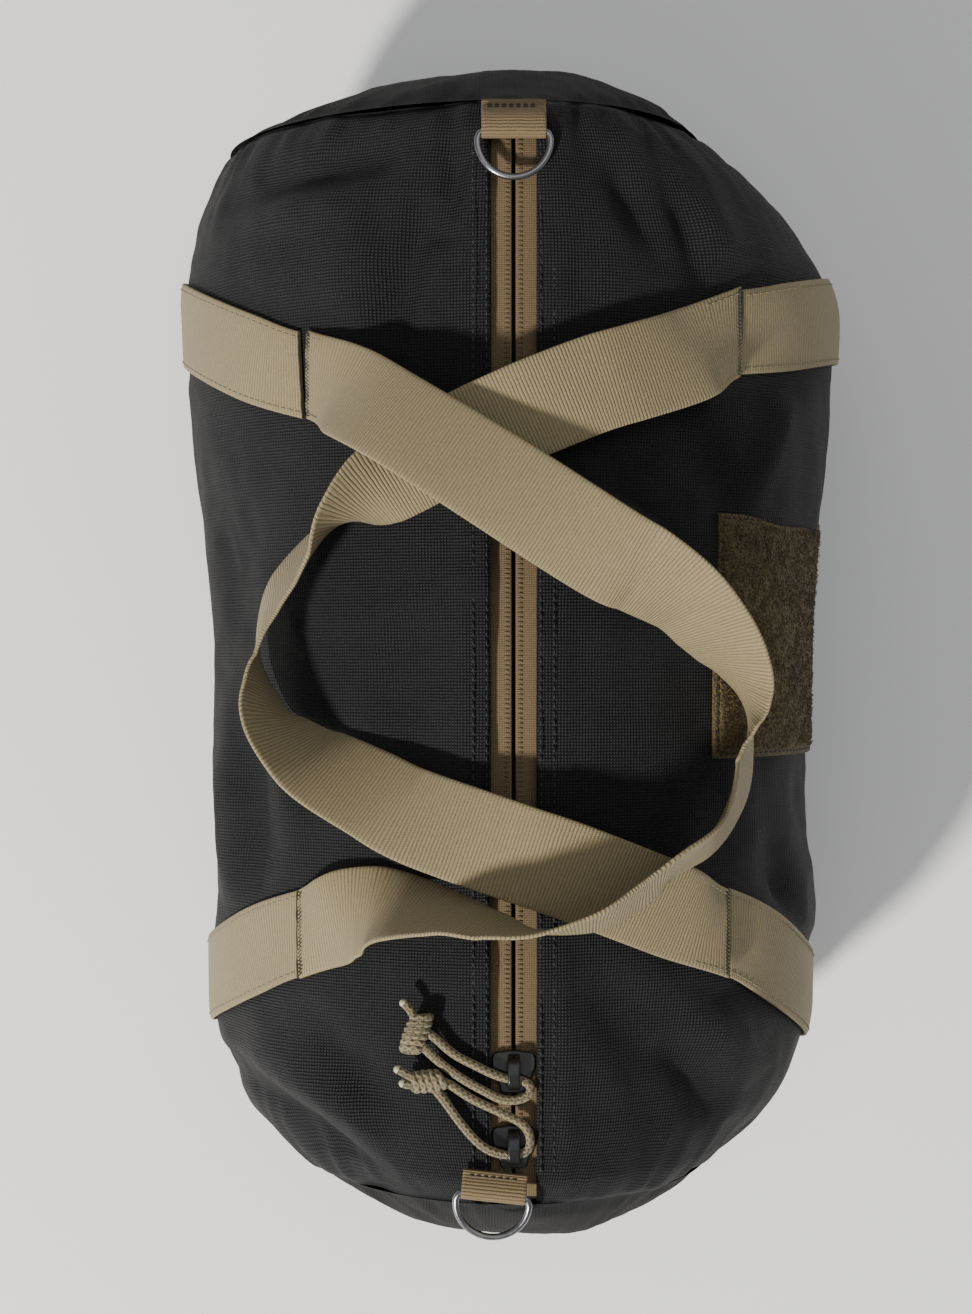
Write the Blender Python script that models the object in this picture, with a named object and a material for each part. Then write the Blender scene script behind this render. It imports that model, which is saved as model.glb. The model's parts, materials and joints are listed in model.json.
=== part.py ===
"""A small barrel duffel bag: sewn fabric barrel with domed ends, a two-slider coil zipper along the
crown, two webbing carry handles sewn to bands round the belly, a D-ring at each end, a loop patch
and a plain side tag. Metres, +Z up, the zipper runs along Y, and the bag rests on z = 0."""

import bmesh
import bpy
import math
from mathutils import Matrix, Vector

MM = 0.001

# Barrel, as (y, half width, crown height, base height, height of the widest point)
BARREL = [
    (-0.216, 0.087, 0.2195, 0.0140, 0.108),
    (-0.204, 0.103, 0.2250, 0.0090, 0.107),
    (-0.185, 0.120, 0.2250, 0.0026, 0.106),
    (-0.150, 0.131, 0.2250, 0.0026, 0.105),
    (0.000, 0.132, 0.2250, 0.0026, 0.105),
    (0.080, 0.138, 0.2250, 0.0026, 0.105),
    (0.150, 0.143, 0.2250, 0.0026, 0.105),
    (0.188, 0.130, 0.2250, 0.0026, 0.106),
    (0.207, 0.116, 0.2250, 0.0085, 0.107),
    (0.220, 0.104, 0.2190, 0.0140, 0.108),
]
FOOT_SEAM = BARREL[0][0]
HEAD_SEAM = BARREL[-1][0]
WALL = 2.0 * MM
FLAT_SHARE = 0.6          # share of the half width that lies flat on the ground
SIDE_GIRTH = 0.49         # girth share, crown to widest point
CORNER_GIRTH = 0.80       # girth share, crown to the edge of the flat base
HEAD_LEAN = 20 * MM         # how far the head seam's sides sag towards -X
LEAN_FROM = 0.145           # where along the barrel that lean begins
LEAN_POWER = 1.6
FOOT_DOME = 32 * MM
HEAD_DOME = 32 * MM
GAP = 0.3 * MM

# Zipper
SLOT_HALF = 9.0 * MM
TAPE_INNER = 0.7 * MM
TAPE_OUTER = 13.0 * MM
TAPE_DEPTH = 4.4 * MM     # tape's middle below the crown
TAPE_THICK = 1.0 * MM
COIL = (0.8 * MM, 5.2 * MM, 217.7 * MM, 219.8 * MM)   # inner and outer x, low and high z
COIL_ENDS = (-0.203, 0.206)
SLIDER_LENGTH = 17 * MM
SLIDER_UPPER_Y = -0.1630
SLIDER_LOWER_Y = -0.1925
SLIDER_TOP = (221.5 * MM, 223.6 * MM)
SLIDER_UNDER = (215.8 * MM, 217.4 * MM)
SLIDER_NECK = 0.4 * MM
BRIDGE_HALF = (2.3 * MM, 6.5 * MM)
BRIDGE_LEG = 1.6 * MM
BRIDGE_OPENING = 4.4 * MM
BRIDGE_THICK = 1.6 * MM

# Webbing
WEB = 38 * MM             # handle webbing
WEB_SEWN = 34 * MM        # the same webbing where stitching gathers it
WEB_THICK = 1.8 * MM
WEB_LIFT = 0.8 * MM
SEAM_HALF_GAP = 0.7 * MM
RING_WEB = 25.4 * MM
RING_WEB_THICK = 1.2 * MM

# D-rings: wire radius, half width of the bar, and straight leg
RING_WIRE = 1.35 * MM
RING_HALF = 14.4 * MM
RING_LEG = 3.5 * MM
RING_BEND = 2.3 * MM      # webbing's middle line round the bar
HEAD_BAR = (0.0, 0.2055, 0.2285)
FOOT_BAR = (-0.008, -0.2100, 0.2285)
FOOT_TURN = -6.0          # degrees the foot ring and its webbing sit askew
FOOT_DROOP = 12.0         # degrees the foot ring hangs below level

# Carry handles: (x, y, z, roll) along the webbing's middle, in millimetres and degrees. Roll 0 is
# flat, 90 stands on edge with the outer rim up.
HANDLE_LEFT = [
    (-82.4, 113.4, 204.5, 0),
    (-67.7, 105.6, 223.0, 0),
    (-49.0, 93.5, 245.5, -12),
    (-34.0, 84.0, 252.5, -12),
    (-4.0, 65.0, 254.5, -5),
    (34.8, 40.4, 250.0, 10),
    (51.0, 32.0, 245.5, 25),
    (67.0, 21.5, 239.0, 39),
    (78.0, 9.7, 232.5, 46),
    (86.0, -1.5, 225.5, 57),
    (91.5, -12.0, 219.0, 73),
    (94.3, -23.0, 215.0, 90),
    (93.2, -37.0, 214.0, 102),
    (88.5, -53.0, 219.0, 109),
    (77.5, -69.0, 236.0, 105),
    (61.3, -80.5, 250.5, 106),
    (47.9, -90.7, 254.5, 109),
    (32.0, -99.7, 258.5, 107),
    (8.4, -104.6, 258.0, 95),
    (-8.6, -102.5, 254.0, 80),
    (-24.7, -99.5, 246.5, 71),
    (-48.2, -97.8, 232.5, 50),
    (-60.4, -100.2, 223.5, 33),
    (-73.1, -105.2, 212.0, 13),
    (-86.1, -112.0, 198.0, 0),
]
HANDLE_RIGHT = [
    (91.4, 131.2, 199.6, 0),
    (69.6, 119.2, 219.5, 0),
    (48.3, 111.3, 231.5, 0),
    (32.0, 106.0, 236.5, 0),
    (9.9, 97.1, 240.0, 2),
    (-6.7, 89.8, 239.5, 4),
    (-21.0, 83.3, 236.0, 12),
    (-32.7, 78.2, 232.8, 22),
    (-44.4, 71.6, 232.5, 28),
    (-55.2, 64.2, 233.0, 42),
    (-65.8, 56.0, 231.0, 68),
    (-75.2, 47.5, 225.5, 98),
    (-84.4, 38.0, 218.5, 107),
    (-94.6, 25.5, 212.5, 108),
    (-100.6, 13.0, 209.0, 100),
    (-102.9, 0.0, 207.0, 92),
    (-100.6, -13.2, 209.0, 78),
    (-96.0, -24.4, 213.5, 64),
    (-86.0, -35.3, 219.0, 50),
    (-75.6, -43.0, 223.0, 37),
    (-56.0, -53.2, 229.5, 25),
    (-38.1, -62.1, 234.5, 14),
    (-1.6, -74.8, 239.5, 0),
    (19.6, -82.0, 238.5, 0),
    (49.1, -94.0, 229.5, 0),
    (69.6, -103.2, 216.0, 0),
    (86.6, -111.4, 201.0, 0),
]
SHEAR_REACH = 34 * MM     # length over which an end cut along the bag turns square to the webbing

# Belly bands: (girth share from the crown, y) down the left side, under, and up the right side.
# Shares above 1 are on the right.
BAND_HEAD = [(0.200, 0.1134), (0.49, 0.148), (1.0, 0.160), (1.51, 0.148), (1.784, 0.1312)]
BAND_FOOT = [(0.222, -0.1120), (0.49, -0.143), (1.0, -0.160), (1.51, -0.150), (1.777, -0.1114)]

# Patch and tag, as girth share and y spans on the right side
PATCH_GIRTH = (0.204, 0.416)
PATCH_Y = (-0.041, 0.058)
PATCH_THICK = 1.6 * MM
TAG_GIRTH = (0.4195, 0.448)
TAG_Y = (-0.014, 0.014)
TAG_THICK = 0.9 * MM

# Pull cords, each through its slider's bridge: (x, y from the slider, z) in millimetres
CORD_RADIUS = 1.8 * MM
CORD_UPPER = [
    (-31.6, 14.8, 226.8),
    (-27.5, 10.6, 226.4),
    (-22.0, 6.6, 226.8),
    (-15.8, 3.6, 227.2),
    (-9.5, 0.4, 227.3),
    (-3.0, -2.2, 225.9),
    (2.5, -2.6, 225.8),
    (6.8, -4.6, 226.0),
    (6.6, -8.4, 226.4),
    (1.5, -10.4, 227.0),
    (-5.0, -10.2, 227.2),
    (-11.5, -6.8, 227.3),
    (-18.0, -3.4, 227.0),
    (-24.5, 0.8, 226.4),
    (-30.0, 5.0, 226.2),
    (-33.4, 8.2, 226.4),
]
CORD_LOWER = [
    (-25.6, 25.6, 226.4),
    (-20.5, 22.0, 226.8),
    (-14.5, 18.6, 227.2),
    (-7.5, 15.4, 227.3),
    (-1.0, 12.2, 226.8),
    (4.2, 9.2, 226.4),
    (6.6, 4.0, 226.0),
    (6.0, -0.8, 225.8),
    (2.0, -2.6, 225.8),
    (-4.0, -2.4, 226.0),
    (-9.8, -0.6, 227.3),
    (-15.0, 3.4, 227.2),
    (-20.0, 9.0, 226.8),
    (-24.5, 15.0, 226.4),
    (-28.6, 20.6, 226.4),
]
KNOT_UPPER = ((-38.2 * MM, 15.7 * MM, 227.0 * MM), (5.2 * MM, 8.5 * MM, 4.8 * MM))
KNOT_LOWER = ((-34.0 * MM, 26.5 * MM, 226.8 * MM), (6.6 * MM, 4.6 * MM, 4.4 * MM))


def between(table, y):
    """Smooth interpolation of a table's columns at y, with no overshoot."""
    last = len(table) - 2
    i = min(max(sum(row[0] <= y for row in table) - 1, 0), last)
    span = table[i + 1][0] - table[i][0]
    t = min(max((y - table[i][0]) / span, 0.0), 1.0)

    def slope(j, k):
        if not 0 <= j <= last:
            return 0.0
        return (table[j + 1][k] - table[j][k]) / (table[j + 1][0] - table[j][0])

    values = []
    for k in range(1, len(table[0])):
        before, here, after = slope(i - 1, k), slope(i, k), slope(i + 1, k)
        start = 2 * before * here / (before + here) if before * here > 0 else 0.0
        end = 2 * here * after / (here + after) if here * after > 0 else 0.0
        if i == 0:
            start = here
        if i == last:
            end = here
        low, high = table[i][k], table[i + 1][k]
        values.append(
            low * (2 * t**3 - 3 * t**2 + 1)
            + high * (3 * t**2 - 2 * t**3)
            + span * (start * (t**3 - 2 * t**2 + t) + end * (t**3 - t**2))
        )
    return values


def crown(y):
    return between(BARREL, y)[1]


def section(girth, y):
    """A point of the barrel's cross-section. Girth 0 is the left crown, 1 the base's middle line
    and 2 the right crown."""
    half, top, base, side = between(BARREL, y)
    share = girth if girth <= 1 else 2 - girth
    sign = -1 if girth <= 1 else 1
    flat = FLAT_SHARE * half
    if share < SIDE_GIRTH:
        turn = math.pi / 2 * share / SIDE_GIRTH
        x = half * math.sin(turn)
        z = side + (top - side) * math.cos(turn)
    elif share < CORNER_GIRTH:
        turn = math.pi / 2 * (share - SIDE_GIRTH) / (CORNER_GIRTH - SIDE_GIRTH)
        x = flat + (half - flat) * math.cos(turn)
        z = side - (side - base) * math.sin(turn)
    else:
        x = flat * (1 - share) / (1 - CORNER_GIRTH)
        z = base
    lean = HEAD_LEAN * max(0.0, (y - LEAN_FROM) / (HEAD_SEAM - LEAN_FROM)) ** LEAN_POWER
    return Vector((sign * x - lean * (x / half) ** 2, y, z))


def surface(girth, y, lift=0.0):
    """A point this far outside the barrel's surface."""
    step = 0.004
    along = section(girth + step, y) - section(girth - step, y)
    across = section(girth, y + 0.001) - section(girth, y - 0.001)
    outward = along.cross(across).normalized()
    middle = Vector((0, y, between(BARREL, y)[3]))
    here = section(girth, y)
    if outward.dot(here - middle) < 0:
        outward.negate()
    return here + lift * outward


def spread(low, high, steps):
    return [low + (high - low) * i / steps for i in range(steps + 1)]


def smooth_path(points, steps):
    """Points on a Catmull-Rom curve through the given ones, of any dimension."""
    ends = [
        [2 * a - b for a, b in zip(points[0], points[1])],
        [2 * a - b for a, b in zip(points[-1], points[-2])],
    ]
    held = [ends[0], *points, ends[1]]
    path = []
    for i in range(1, len(held) - 2):
        for j in range(steps):
            t = j / steps
            path.append([
                0.5 * (2 * b + (c - a) * t + (2 * a - 5 * b + 4 * c - d) * t**2
                       + (3 * b - a - 3 * c + d) * t**3)
                for a, b, c, d in zip(*held[i - 1:i + 3])
            ])
    path.append(list(points[-1]))
    return path


def material(name, colour, roughness, metallic=0.0):
    made = bpy.data.materials.new(name)
    made.use_nodes = True
    shader = made.node_tree.nodes["Principled BSDF"]
    shader.inputs["Base Color"].default_value = (*colour, 1)
    shader.inputs["Roughness"].default_value = roughness
    shader.inputs["Metallic"].default_value = metallic
    return made


def add_object(name, mesh, finish, smooth=True, parent=None):
    obj = bpy.data.objects.new(name, mesh)
    bpy.context.scene.collection.objects.link(obj)
    mesh.materials.append(finish)
    if smooth:
        mesh.shade_smooth()
        mesh.set_sharp_from_angle(angle=math.radians(40))
    if parent:
        obj.parent = parent
        obj.matrix_parent_inverse = parent.matrix_world.inverted()
    return obj


def add_pivot(name, place):
    """An empty on a joint's axis, which the moving pieces hang on."""
    pivot = bpy.data.objects.new(name, None)
    pivot.empty_display_size = 0.02
    bpy.context.scene.collection.objects.link(pivot)
    pivot.location = place
    bpy.context.view_layer.update()
    return pivot


def mesh_of(name, rows, loop_rows=False, closed=True, caps=True):
    """A mesh from rows of points: each row is a ring when closed, and the rows make a loop or are
    capped at both ends."""
    bm = bmesh.new()
    made = [[bm.verts.new(point) for point in row] for row in rows]
    pairs = list(zip(made, made[1:]))
    if loop_rows:
        pairs.append((made[-1], made[0]))
    for row, after in pairs:
        count = len(row)
        for i in range(count if closed else count - 1):
            j = (i + 1) % count
            bm.faces.new((row[i], row[j], after[j], after[i]))
    if caps and not loop_rows:
        bm.faces.new(made[0])
        bm.faces.new(made[-1])
    bmesh.ops.recalc_face_normals(bm, faces=bm.faces)
    mesh = bpy.data.meshes.new(name)
    bm.to_mesh(mesh)
    bm.free()
    return mesh


def barrel_shell():
    """The fabric barrel: one wall from the zipper's left edge round the base to its right edge."""
    rows = []
    for y in [*spread(FOOT_SEAM, -0.180, 4), *spread(-0.160, 0.160, 12), *spread(0.180, HEAD_SEAM, 4)]:
        half = between(BARREL, y)[0]
        edge = math.asin(SLOT_HALF / half) / (math.pi / 2) * SIDE_GIRTH
        left = [
            *spread(edge, SIDE_GIRTH, 15)[:-1],
            *spread(SIDE_GIRTH, CORNER_GIRTH, 14)[:-1],
            *spread(CORNER_GIRTH, 1, 3)[:-1],
        ]
        girths = [*left, 1, *(2 - g for g in reversed(left))]
        outer = [surface(g, y) for g in girths]
        inner = [surface(g, y, -WALL) for g in reversed(girths)]
        rows.append(outer + inner)
    return mesh_of("body_panel", rows)


def end_panel(name, seam, dome, side):
    """A domed end: outer and inner skins that meet in a rim at the seam."""
    around = 48
    middle = Vector((0, seam, 0.115))
    rim = [section(2 * i / around, seam) for i in range(around)]
    bm = bmesh.new()

    def skin(shares, depth):
        rings = []
        for share in shares:
            rise = GAP + depth * (1 - share**2)
            rings.append([
                bm.verts.new(middle + share * (point - middle) + Vector((0, side * rise, 0)))
                for point in rim
            ])
        for ring, within in zip(rings, rings[1:]):
            for i in range(around):
                j = (i + 1) % around
                bm.faces.new((ring[i], ring[j], within[j], within[i]))
        bm.faces.new(rings[-1])
        return rings[0]

    outer = skin((1.0, 0.9, 0.72, 0.45, 0.16), dome)
    inner = skin((0.975, 0.88, 0.70, 0.44, 0.16), dome - WALL)
    for i in range(around):
        j = (i + 1) % around
        bm.faces.new((outer[i], outer[j], inner[j], inner[i]))
    bmesh.ops.recalc_face_normals(bm, faces=bm.faces)
    mesh = bpy.data.meshes.new(name)
    bm.to_mesh(mesh)
    bm.free()
    return mesh


def seam_binding(name, seam, side):
    """The tape folded over the seam allowance, a flat ring inside the barrel's end."""
    around = 48
    near, far = seam - side * 1.5 * MM, seam - side * 9.5 * MM
    depths = (6.0 * MM, 7.4 * MM)
    rows = []
    for i in range(around):
        girth = 2 * i / around
        rows.append([
            surface(girth, near, -depths[0]),
            surface(girth, far, -depths[0]),
            surface(girth, far, -depths[1]),
            surface(girth, near, -depths[1]),
        ])
    return mesh_of(name, rows, loop_rows=True)


def strip(name, stations, thickness):
    """Webbing from stations of (middle, half-width vector, unit normal)."""
    rows = []
    for middle, reach, normal in stations:
        half = 0.5 * thickness * normal
        rows.append([
            middle + reach + half,
            middle - reach + half,
            middle - reach - half,
            middle + reach - half,
        ])
    return mesh_of(name, rows)


def handle(name, route, outer_is_left):
    """A carry handle. Each station's width lies across its direction, rolled about it, and turns
    along Y at the sewn ends."""
    path = smooth_path([(x * MM, y * MM, z * MM, roll) for x, y, z, roll in route], 3)
    middles = [Vector(p[:3]) for p in path]
    rolls = [math.radians(p[3]) for p in path]
    lengths = [0.0]
    for a, b in zip(middles, middles[1:]):
        lengths.append(lengths[-1] + (b - a).length)
    stations = []
    for i, middle in enumerate(middles):
        ahead = middles[min(i + 1, len(middles) - 1)] - middles[max(i - 1, 0)]
        ahead.normalize()
        across = Vector((-ahead.y, ahead.x, 0)).normalized()
        if not outer_is_left:
            across.negate()
        up = ahead.cross(across)
        if up.z < 0:
            up.negate()
        free = 0.5 * WEB * (math.cos(rolls[i]) * across + math.sin(rolls[i]) * up)
        cut = Vector((0, math.copysign(1, across.y), 0))
        sewn = 0.5 * WEB_SEWN / (cut - cut.dot(ahead) * ahead).length * cut
        from_end = min(lengths[i], lengths[-1] - lengths[i])
        ease = min(from_end / SHEAR_REACH, 1.0)
        ease = ease * ease * (3 - 2 * ease)
        reach = ease * free + (1 - ease) * sewn if ease < 1 else free
        stations.append((middle, reach, ahead.cross(reach).normalized()))
    for end, after in ((0, 1), (-1, -2)):
        middle, reach, normal = stations[end]
        inward = (stations[after][0] - middle).normalized()
        stations[end] = (middle + SEAM_HALF_GAP / abs(inward.x) * inward, reach, normal)
    return strip(name, stations, WEB_THICK)


def band(name, route):
    """Webbing sewn round the belly, from one handle's end to the other's, cut along Y at its ends."""
    path = smooth_path(route, 14)
    middles = [surface(g, y) for g, y in path]
    lengths = [0.0]
    for a, b in zip(middles, middles[1:]):
        lengths.append(lengths[-1] + (b - a).length)
    step = 1e-3
    rows = []
    for i, (girth, y) in enumerate(path):
        per_girth = (section(girth + step, y) - section(girth - step, y)) / (2 * step)
        ahead = middles[min(i + 1, len(middles) - 1)] - middles[max(i - 1, 0)]
        ahead.normalize()
        slant = math.atan2(ahead.y, ahead.dot(per_girth.normalized()))
        from_end = min(lengths[i], lengths[-1] - lengths[i])
        ease = min(from_end / SHEAR_REACH, 1.0)
        ease = ease * ease * (3 - 2 * ease)
        width = WEB_SEWN + (WEB - WEB_SEWN) * ease * 0.5
        turn = slant * ease
        reach = 0.5 * width / max(math.cos(slant * (1 - ease)), 0.7)
        shift = Vector((-math.sin(turn) * reach / per_girth.length, math.cos(turn) * reach))
        if from_end == 0:
            sign = 1 if i == 0 else -1
            girth += sign * SEAM_HALF_GAP / per_girth.length
        spots = [(girth + k * shift.x, y + k * shift.y) for k in (1, 0.33, -0.33, -1)]
        outer = [surface(g, v, WEB_LIFT + WEB_THICK) for g, v in spots]
        inner = [surface(g, v, WEB_LIFT) for g, v in reversed(spots)]
        rows.append(outer + inner)
    return mesh_of(name, rows)


def plate(name, girths, ys, lift, thickness):
    """A flat piece sewn on the barrel's right side."""
    rows = []
    for y in spread(*ys, 6):
        spots = [2 - g for g in spread(*girths, 8)]
        outer = [surface(g, y, lift + thickness) for g in spots]
        inner = [surface(g, y, lift) for g in reversed(spots)]
        rows.append(outer + inner)
    return mesh_of(name, rows)


def tape(name, side):
    """One half of the zipper tape, level under the crown and dipping into the end seams."""
    middle_x = side * (TAPE_INNER + TAPE_OUTER) / 2
    half = (TAPE_OUTER - TAPE_INNER) / 2
    stations = []
    for y in (FOOT_SEAM + MM, -0.2115, -0.2075, -0.204, 0.0, 0.207, 0.2105, 0.215, HEAD_SEAM - MM):
        height = crown(y) - TAPE_DEPTH
        stations.append((Vector((middle_x, y, height)), Vector((half, 0, 0)), Vector((0, 0, 1))))
    return strip(name, stations, TAPE_THICK)


def coil(name, side):
    """One row of zipper coil, a rounded bar under the tape's inner edge."""
    inner, outer, low, high = COIL
    cut = 0.5 * MM
    profile = [
        (inner, low + cut), (inner + cut, low), (outer - cut, low), (outer, low + cut),
        (outer, high - cut), (outer - cut, high), (inner + cut, high), (inner, high - cut),
    ]
    rows = [[(side * x, y, z) for x, z in profile] for y in spread(*COIL_ENDS, 4)]
    return mesh_of(name, rows)


def slab(name, outline, low, high):
    """A flat shape in plan, extruded from low to high."""
    rows = [[(x, y, z) for x, y in outline] for z in (low, high)]
    return mesh_of(name, rows)


def add_slider(name, finish, y, parent):
    """A zipper slider: top and bottom plates joined by a neck, with a cord bridge on top."""
    half = SLIDER_LENGTH / 2
    wide, narrow, cut = 8.6 * MM, 5.2 * MM, 1.4 * MM
    outline = [
        (wide - cut, half), (wide, half - cut), (wide, half * 0.1), (narrow + cut, cut - half),
        (narrow, -half), (-narrow, -half), (-narrow - cut, cut - half), (-wide, half * 0.1),
        (-wide, half - cut), (cut - wide, half),
    ]
    outline = [(px, py + y) for px, py in outline]
    body = add_object(name, slab(name, outline, *SLIDER_TOP), finish, parent=parent)
    low, high = SLIDER_TOP[1] - 0.8 * MM, SLIDER_TOP[1] + BRIDGE_OPENING
    reach = BRIDGE_HALF[1]
    arch = [
        (-reach, low), (-reach, high), (-reach + BRIDGE_THICK, high + BRIDGE_THICK),
        (reach - BRIDGE_THICK, high + BRIDGE_THICK), (reach, high), (reach, low),
        (reach - BRIDGE_LEG, low), (reach - BRIDGE_LEG, high - 0.6 * MM),
        (reach - BRIDGE_LEG - 0.6 * MM, high), (BRIDGE_LEG + 0.6 * MM - reach, high),
        (BRIDGE_LEG - reach, high - 0.6 * MM), (BRIDGE_LEG - reach, low),
    ]
    rows = [[(x, py + y, z) for py, z in arch] for x in (-BRIDGE_HALF[0], BRIDGE_HALF[0])]
    under = [(0.92 * px, y + 0.92 * (py - y)) for px, py in outline]
    neck = [(-SLIDER_NECK, y - 4 * MM), (SLIDER_NECK, y - 4 * MM),
            (SLIDER_NECK, y + 6 * MM), (-SLIDER_NECK, y + 6 * MM)]
    parts = [
        mesh_of(name + "_bridge", rows),
        slab(name + "_under", under, *SLIDER_UNDER),
        slab(name + "_neck", neck, SLIDER_UNDER[0] + 0.5 * MM, SLIDER_TOP[1] - 0.5 * MM),
    ]
    # the neck goes on before the bottom plate, so that each join is between touching solids
    for mesh in (parts[0], parts[2], parts[1]):
        piece = bpy.data.objects.new(mesh.name, mesh)
        bpy.context.scene.collection.objects.link(piece)
        piece.hide_render = True
        piece.display_type = "WIRE"
        joined = body.modifiers.new(mesh.name, "BOOLEAN")
        joined.operation = "UNION"
        joined.object = piece
    return body


def add_cord(name, route, slider_y, finish, parent):
    """A pull cord, a smooth tube along its route."""
    path = smooth_path([(x * MM, slider_y + y * MM, z * MM) for x, y, z in route], 4)
    curve = bpy.data.curves.new(name, "CURVE")
    curve.dimensions = "3D"
    curve.bevel_depth = CORD_RADIUS
    curve.bevel_resolution = 2
    curve.use_fill_caps = True
    spline = curve.splines.new("POLY")
    spline.points.add(len(path) - 1)
    for point, place in zip(spline.points, path):
        point.co = (*place, 1)
    curve.materials.append(finish)
    obj = bpy.data.objects.new(name, curve)
    bpy.context.scene.collection.objects.link(obj)
    obj.parent = parent
    obj.matrix_parent_inverse = parent.matrix_world.inverted()
    return obj


def add_knot(name, knot, slider_y, finish, parent):
    """The knot that closes a pull cord's loop, a tight rounded bundle."""
    (x, y, z), radii = knot
    bm = bmesh.new()
    place = Matrix.Translation((x, slider_y + y, z)) @ Matrix.Diagonal((*radii, 1))
    bmesh.ops.create_icosphere(bm, subdivisions=2, radius=1, matrix=place)
    mesh = bpy.data.meshes.new(name)
    bm.to_mesh(mesh)
    bm.free()
    return add_object(name, mesh, finish, parent=parent)


def ring_outline():
    """The D-ring's wire line in its own plane, with the bar at the origin and the bow towards -Y."""
    points = [(-RING_HALF, 0.0), (0.0, 0.0), (RING_HALF, 0.0)]
    turns = 16
    for i in range(turns + 1):
        turn = math.pi * i / turns
        points.append((RING_HALF * math.cos(turn), -RING_LEG - RING_HALF * math.sin(turn)))
    return points


def add_ring(name, place, turn, droop, finish):
    """A welded wire D-ring whose bar lies on its hinge line."""
    curve = bpy.data.curves.new(name, "CURVE")
    curve.dimensions = "3D"
    curve.bevel_depth = RING_WIRE
    curve.bevel_resolution = 3
    spline = curve.splines.new("POLY")
    outline = ring_outline()
    spline.points.add(len(outline) - 1)
    for point, (x, y) in zip(spline.points, outline):
        point.co = (x, y, 0, 1)
    spline.use_cyclic_u = True
    curve.materials.append(finish)
    obj = bpy.data.objects.new(name, curve)
    bpy.context.scene.collection.objects.link(obj)
    obj.location = place
    obj.rotation_euler = (math.radians(droop), 0, math.radians(turn))
    return obj


def ring_webbing(name, bar, sewn_y, turn):
    """A webbing loop folded round a ring's bar, both layers running back to its sewn end."""
    side = 1 if sewn_y > bar[1] else -1
    reach = abs(sewn_y - bar[1])
    profile = []
    for share in (1.0, 0.75, 0.5, 0.25):
        y = bar[1] + side * reach * share
        profile.append((y, max(crown(y) + 1.1 * MM, bar[2] - RING_BEND - 8 * MM * share)))
    for i in range(9):
        angle = math.radians(-90 - 180 * i / 8)
        profile.append((bar[1] - side * -math.cos(angle) * RING_BEND, bar[2] + math.sin(angle) * RING_BEND))
    for share in (0.25, 0.5, 0.75, 1.0):
        y = bar[1] + side * reach * share
        under = max(crown(y) + 1.1 * MM, bar[2] - RING_BEND - 8 * MM * share)
        above = under + RING_WEB_THICK + 0.4 * MM
        blend = max(0.0, 1 - (share / 0.75) ** 2)
        profile.append((y, above + blend * (bar[2] + RING_BEND - above)))
    spin = Matrix.Rotation(math.radians(turn), 3, "Z")
    centre = Vector((bar[0], bar[1], 0))
    stations = []
    for i, (y, z) in enumerate(profile):
        after, before = profile[min(i + 1, len(profile) - 1)], profile[max(i - 1, 0)]
        ahead = Vector((0, after[0] - before[0], after[1] - before[1])).normalized()
        normal = ahead.cross(Vector((1, 0, 0)))
        middle = Vector((0, y - bar[1], z))
        stations.append((centre + spin @ middle, spin @ Vector((RING_WEB / 2, 0, 0)), spin @ normal))
    return strip(name, stations, RING_WEB_THICK)


def clear_scene():
    for obj in list(bpy.data.objects):
        bpy.data.objects.remove(obj, do_unlink=True)


def build_body():
    fabric = material("black_fabric", (0.012, 0.012, 0.014), 0.85)
    binding = material("binding_tape", (0.014, 0.014, 0.015), 0.8)
    add_object("body_panel", barrel_shell(), fabric)
    for end, seam, dome, side in (("head", HEAD_SEAM, HEAD_DOME, 1), ("foot", FOOT_SEAM, FOOT_DOME, -1)):
        panel = end_panel("end_panel_" + end, seam, dome, side)
        add_object("end_panel_" + end, panel, fabric)
        ring = seam_binding("seam_binding_" + end, seam, side)
        add_object("seam_binding_" + end, ring, binding)


def build_zipper():
    cloth = material("zipper_tape", (0.30, 0.22, 0.12), 0.85)
    nylon = material("zipper_coil", (0.26, 0.19, 0.10), 0.5)
    metal = material("slider_enamel", (0.015, 0.015, 0.016), 0.3, 0.6)
    cord = material("pull_cord", (0.20, 0.17, 0.08), 0.8)
    for label, side in (("left", -1), ("right", 1)):
        add_object("zipper_tape_" + label, tape("zipper_tape_" + label, side), cloth)
        add_object("zipper_coil_" + label, coil("zipper_coil_" + label, side), nylon)
    for label, y, route, knot in (
        ("upper", SLIDER_UPPER_Y, CORD_UPPER, KNOT_UPPER),
        ("lower", SLIDER_LOWER_Y, CORD_LOWER, KNOT_LOWER),
    ):
        pivot = add_pivot("pivot_pull_" + label, (0, y - 2.5 * MM, SLIDER_TOP[1] + 2.2 * MM))
        add_slider("slider_" + label, metal, y, None)
        add_cord("pull_cord_" + label, route, y, cord, pivot)
        add_knot("pull_knot_" + label, knot, y, cord, pivot)


def build_webbing():
    webbing = material("handle_webbing", (0.22, 0.19, 0.11), 0.7)
    pieces = (("left", HANDLE_LEFT, True), ("right", HANDLE_RIGHT, False))
    for label, route, outer_is_left in pieces:
        start, end = (Vector(route[i][:3]) * MM for i in (0, -1))
        pivot = add_pivot("pivot_handle_" + label, (start + end) / 2)
        mesh = handle("handle_" + label, route, outer_is_left)
        add_object("handle_" + label, mesh, webbing, parent=pivot)
    add_object("band_head", band("band_head", BAND_HEAD), webbing)
    add_object("band_foot", band("band_foot", BAND_FOOT), webbing)


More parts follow.
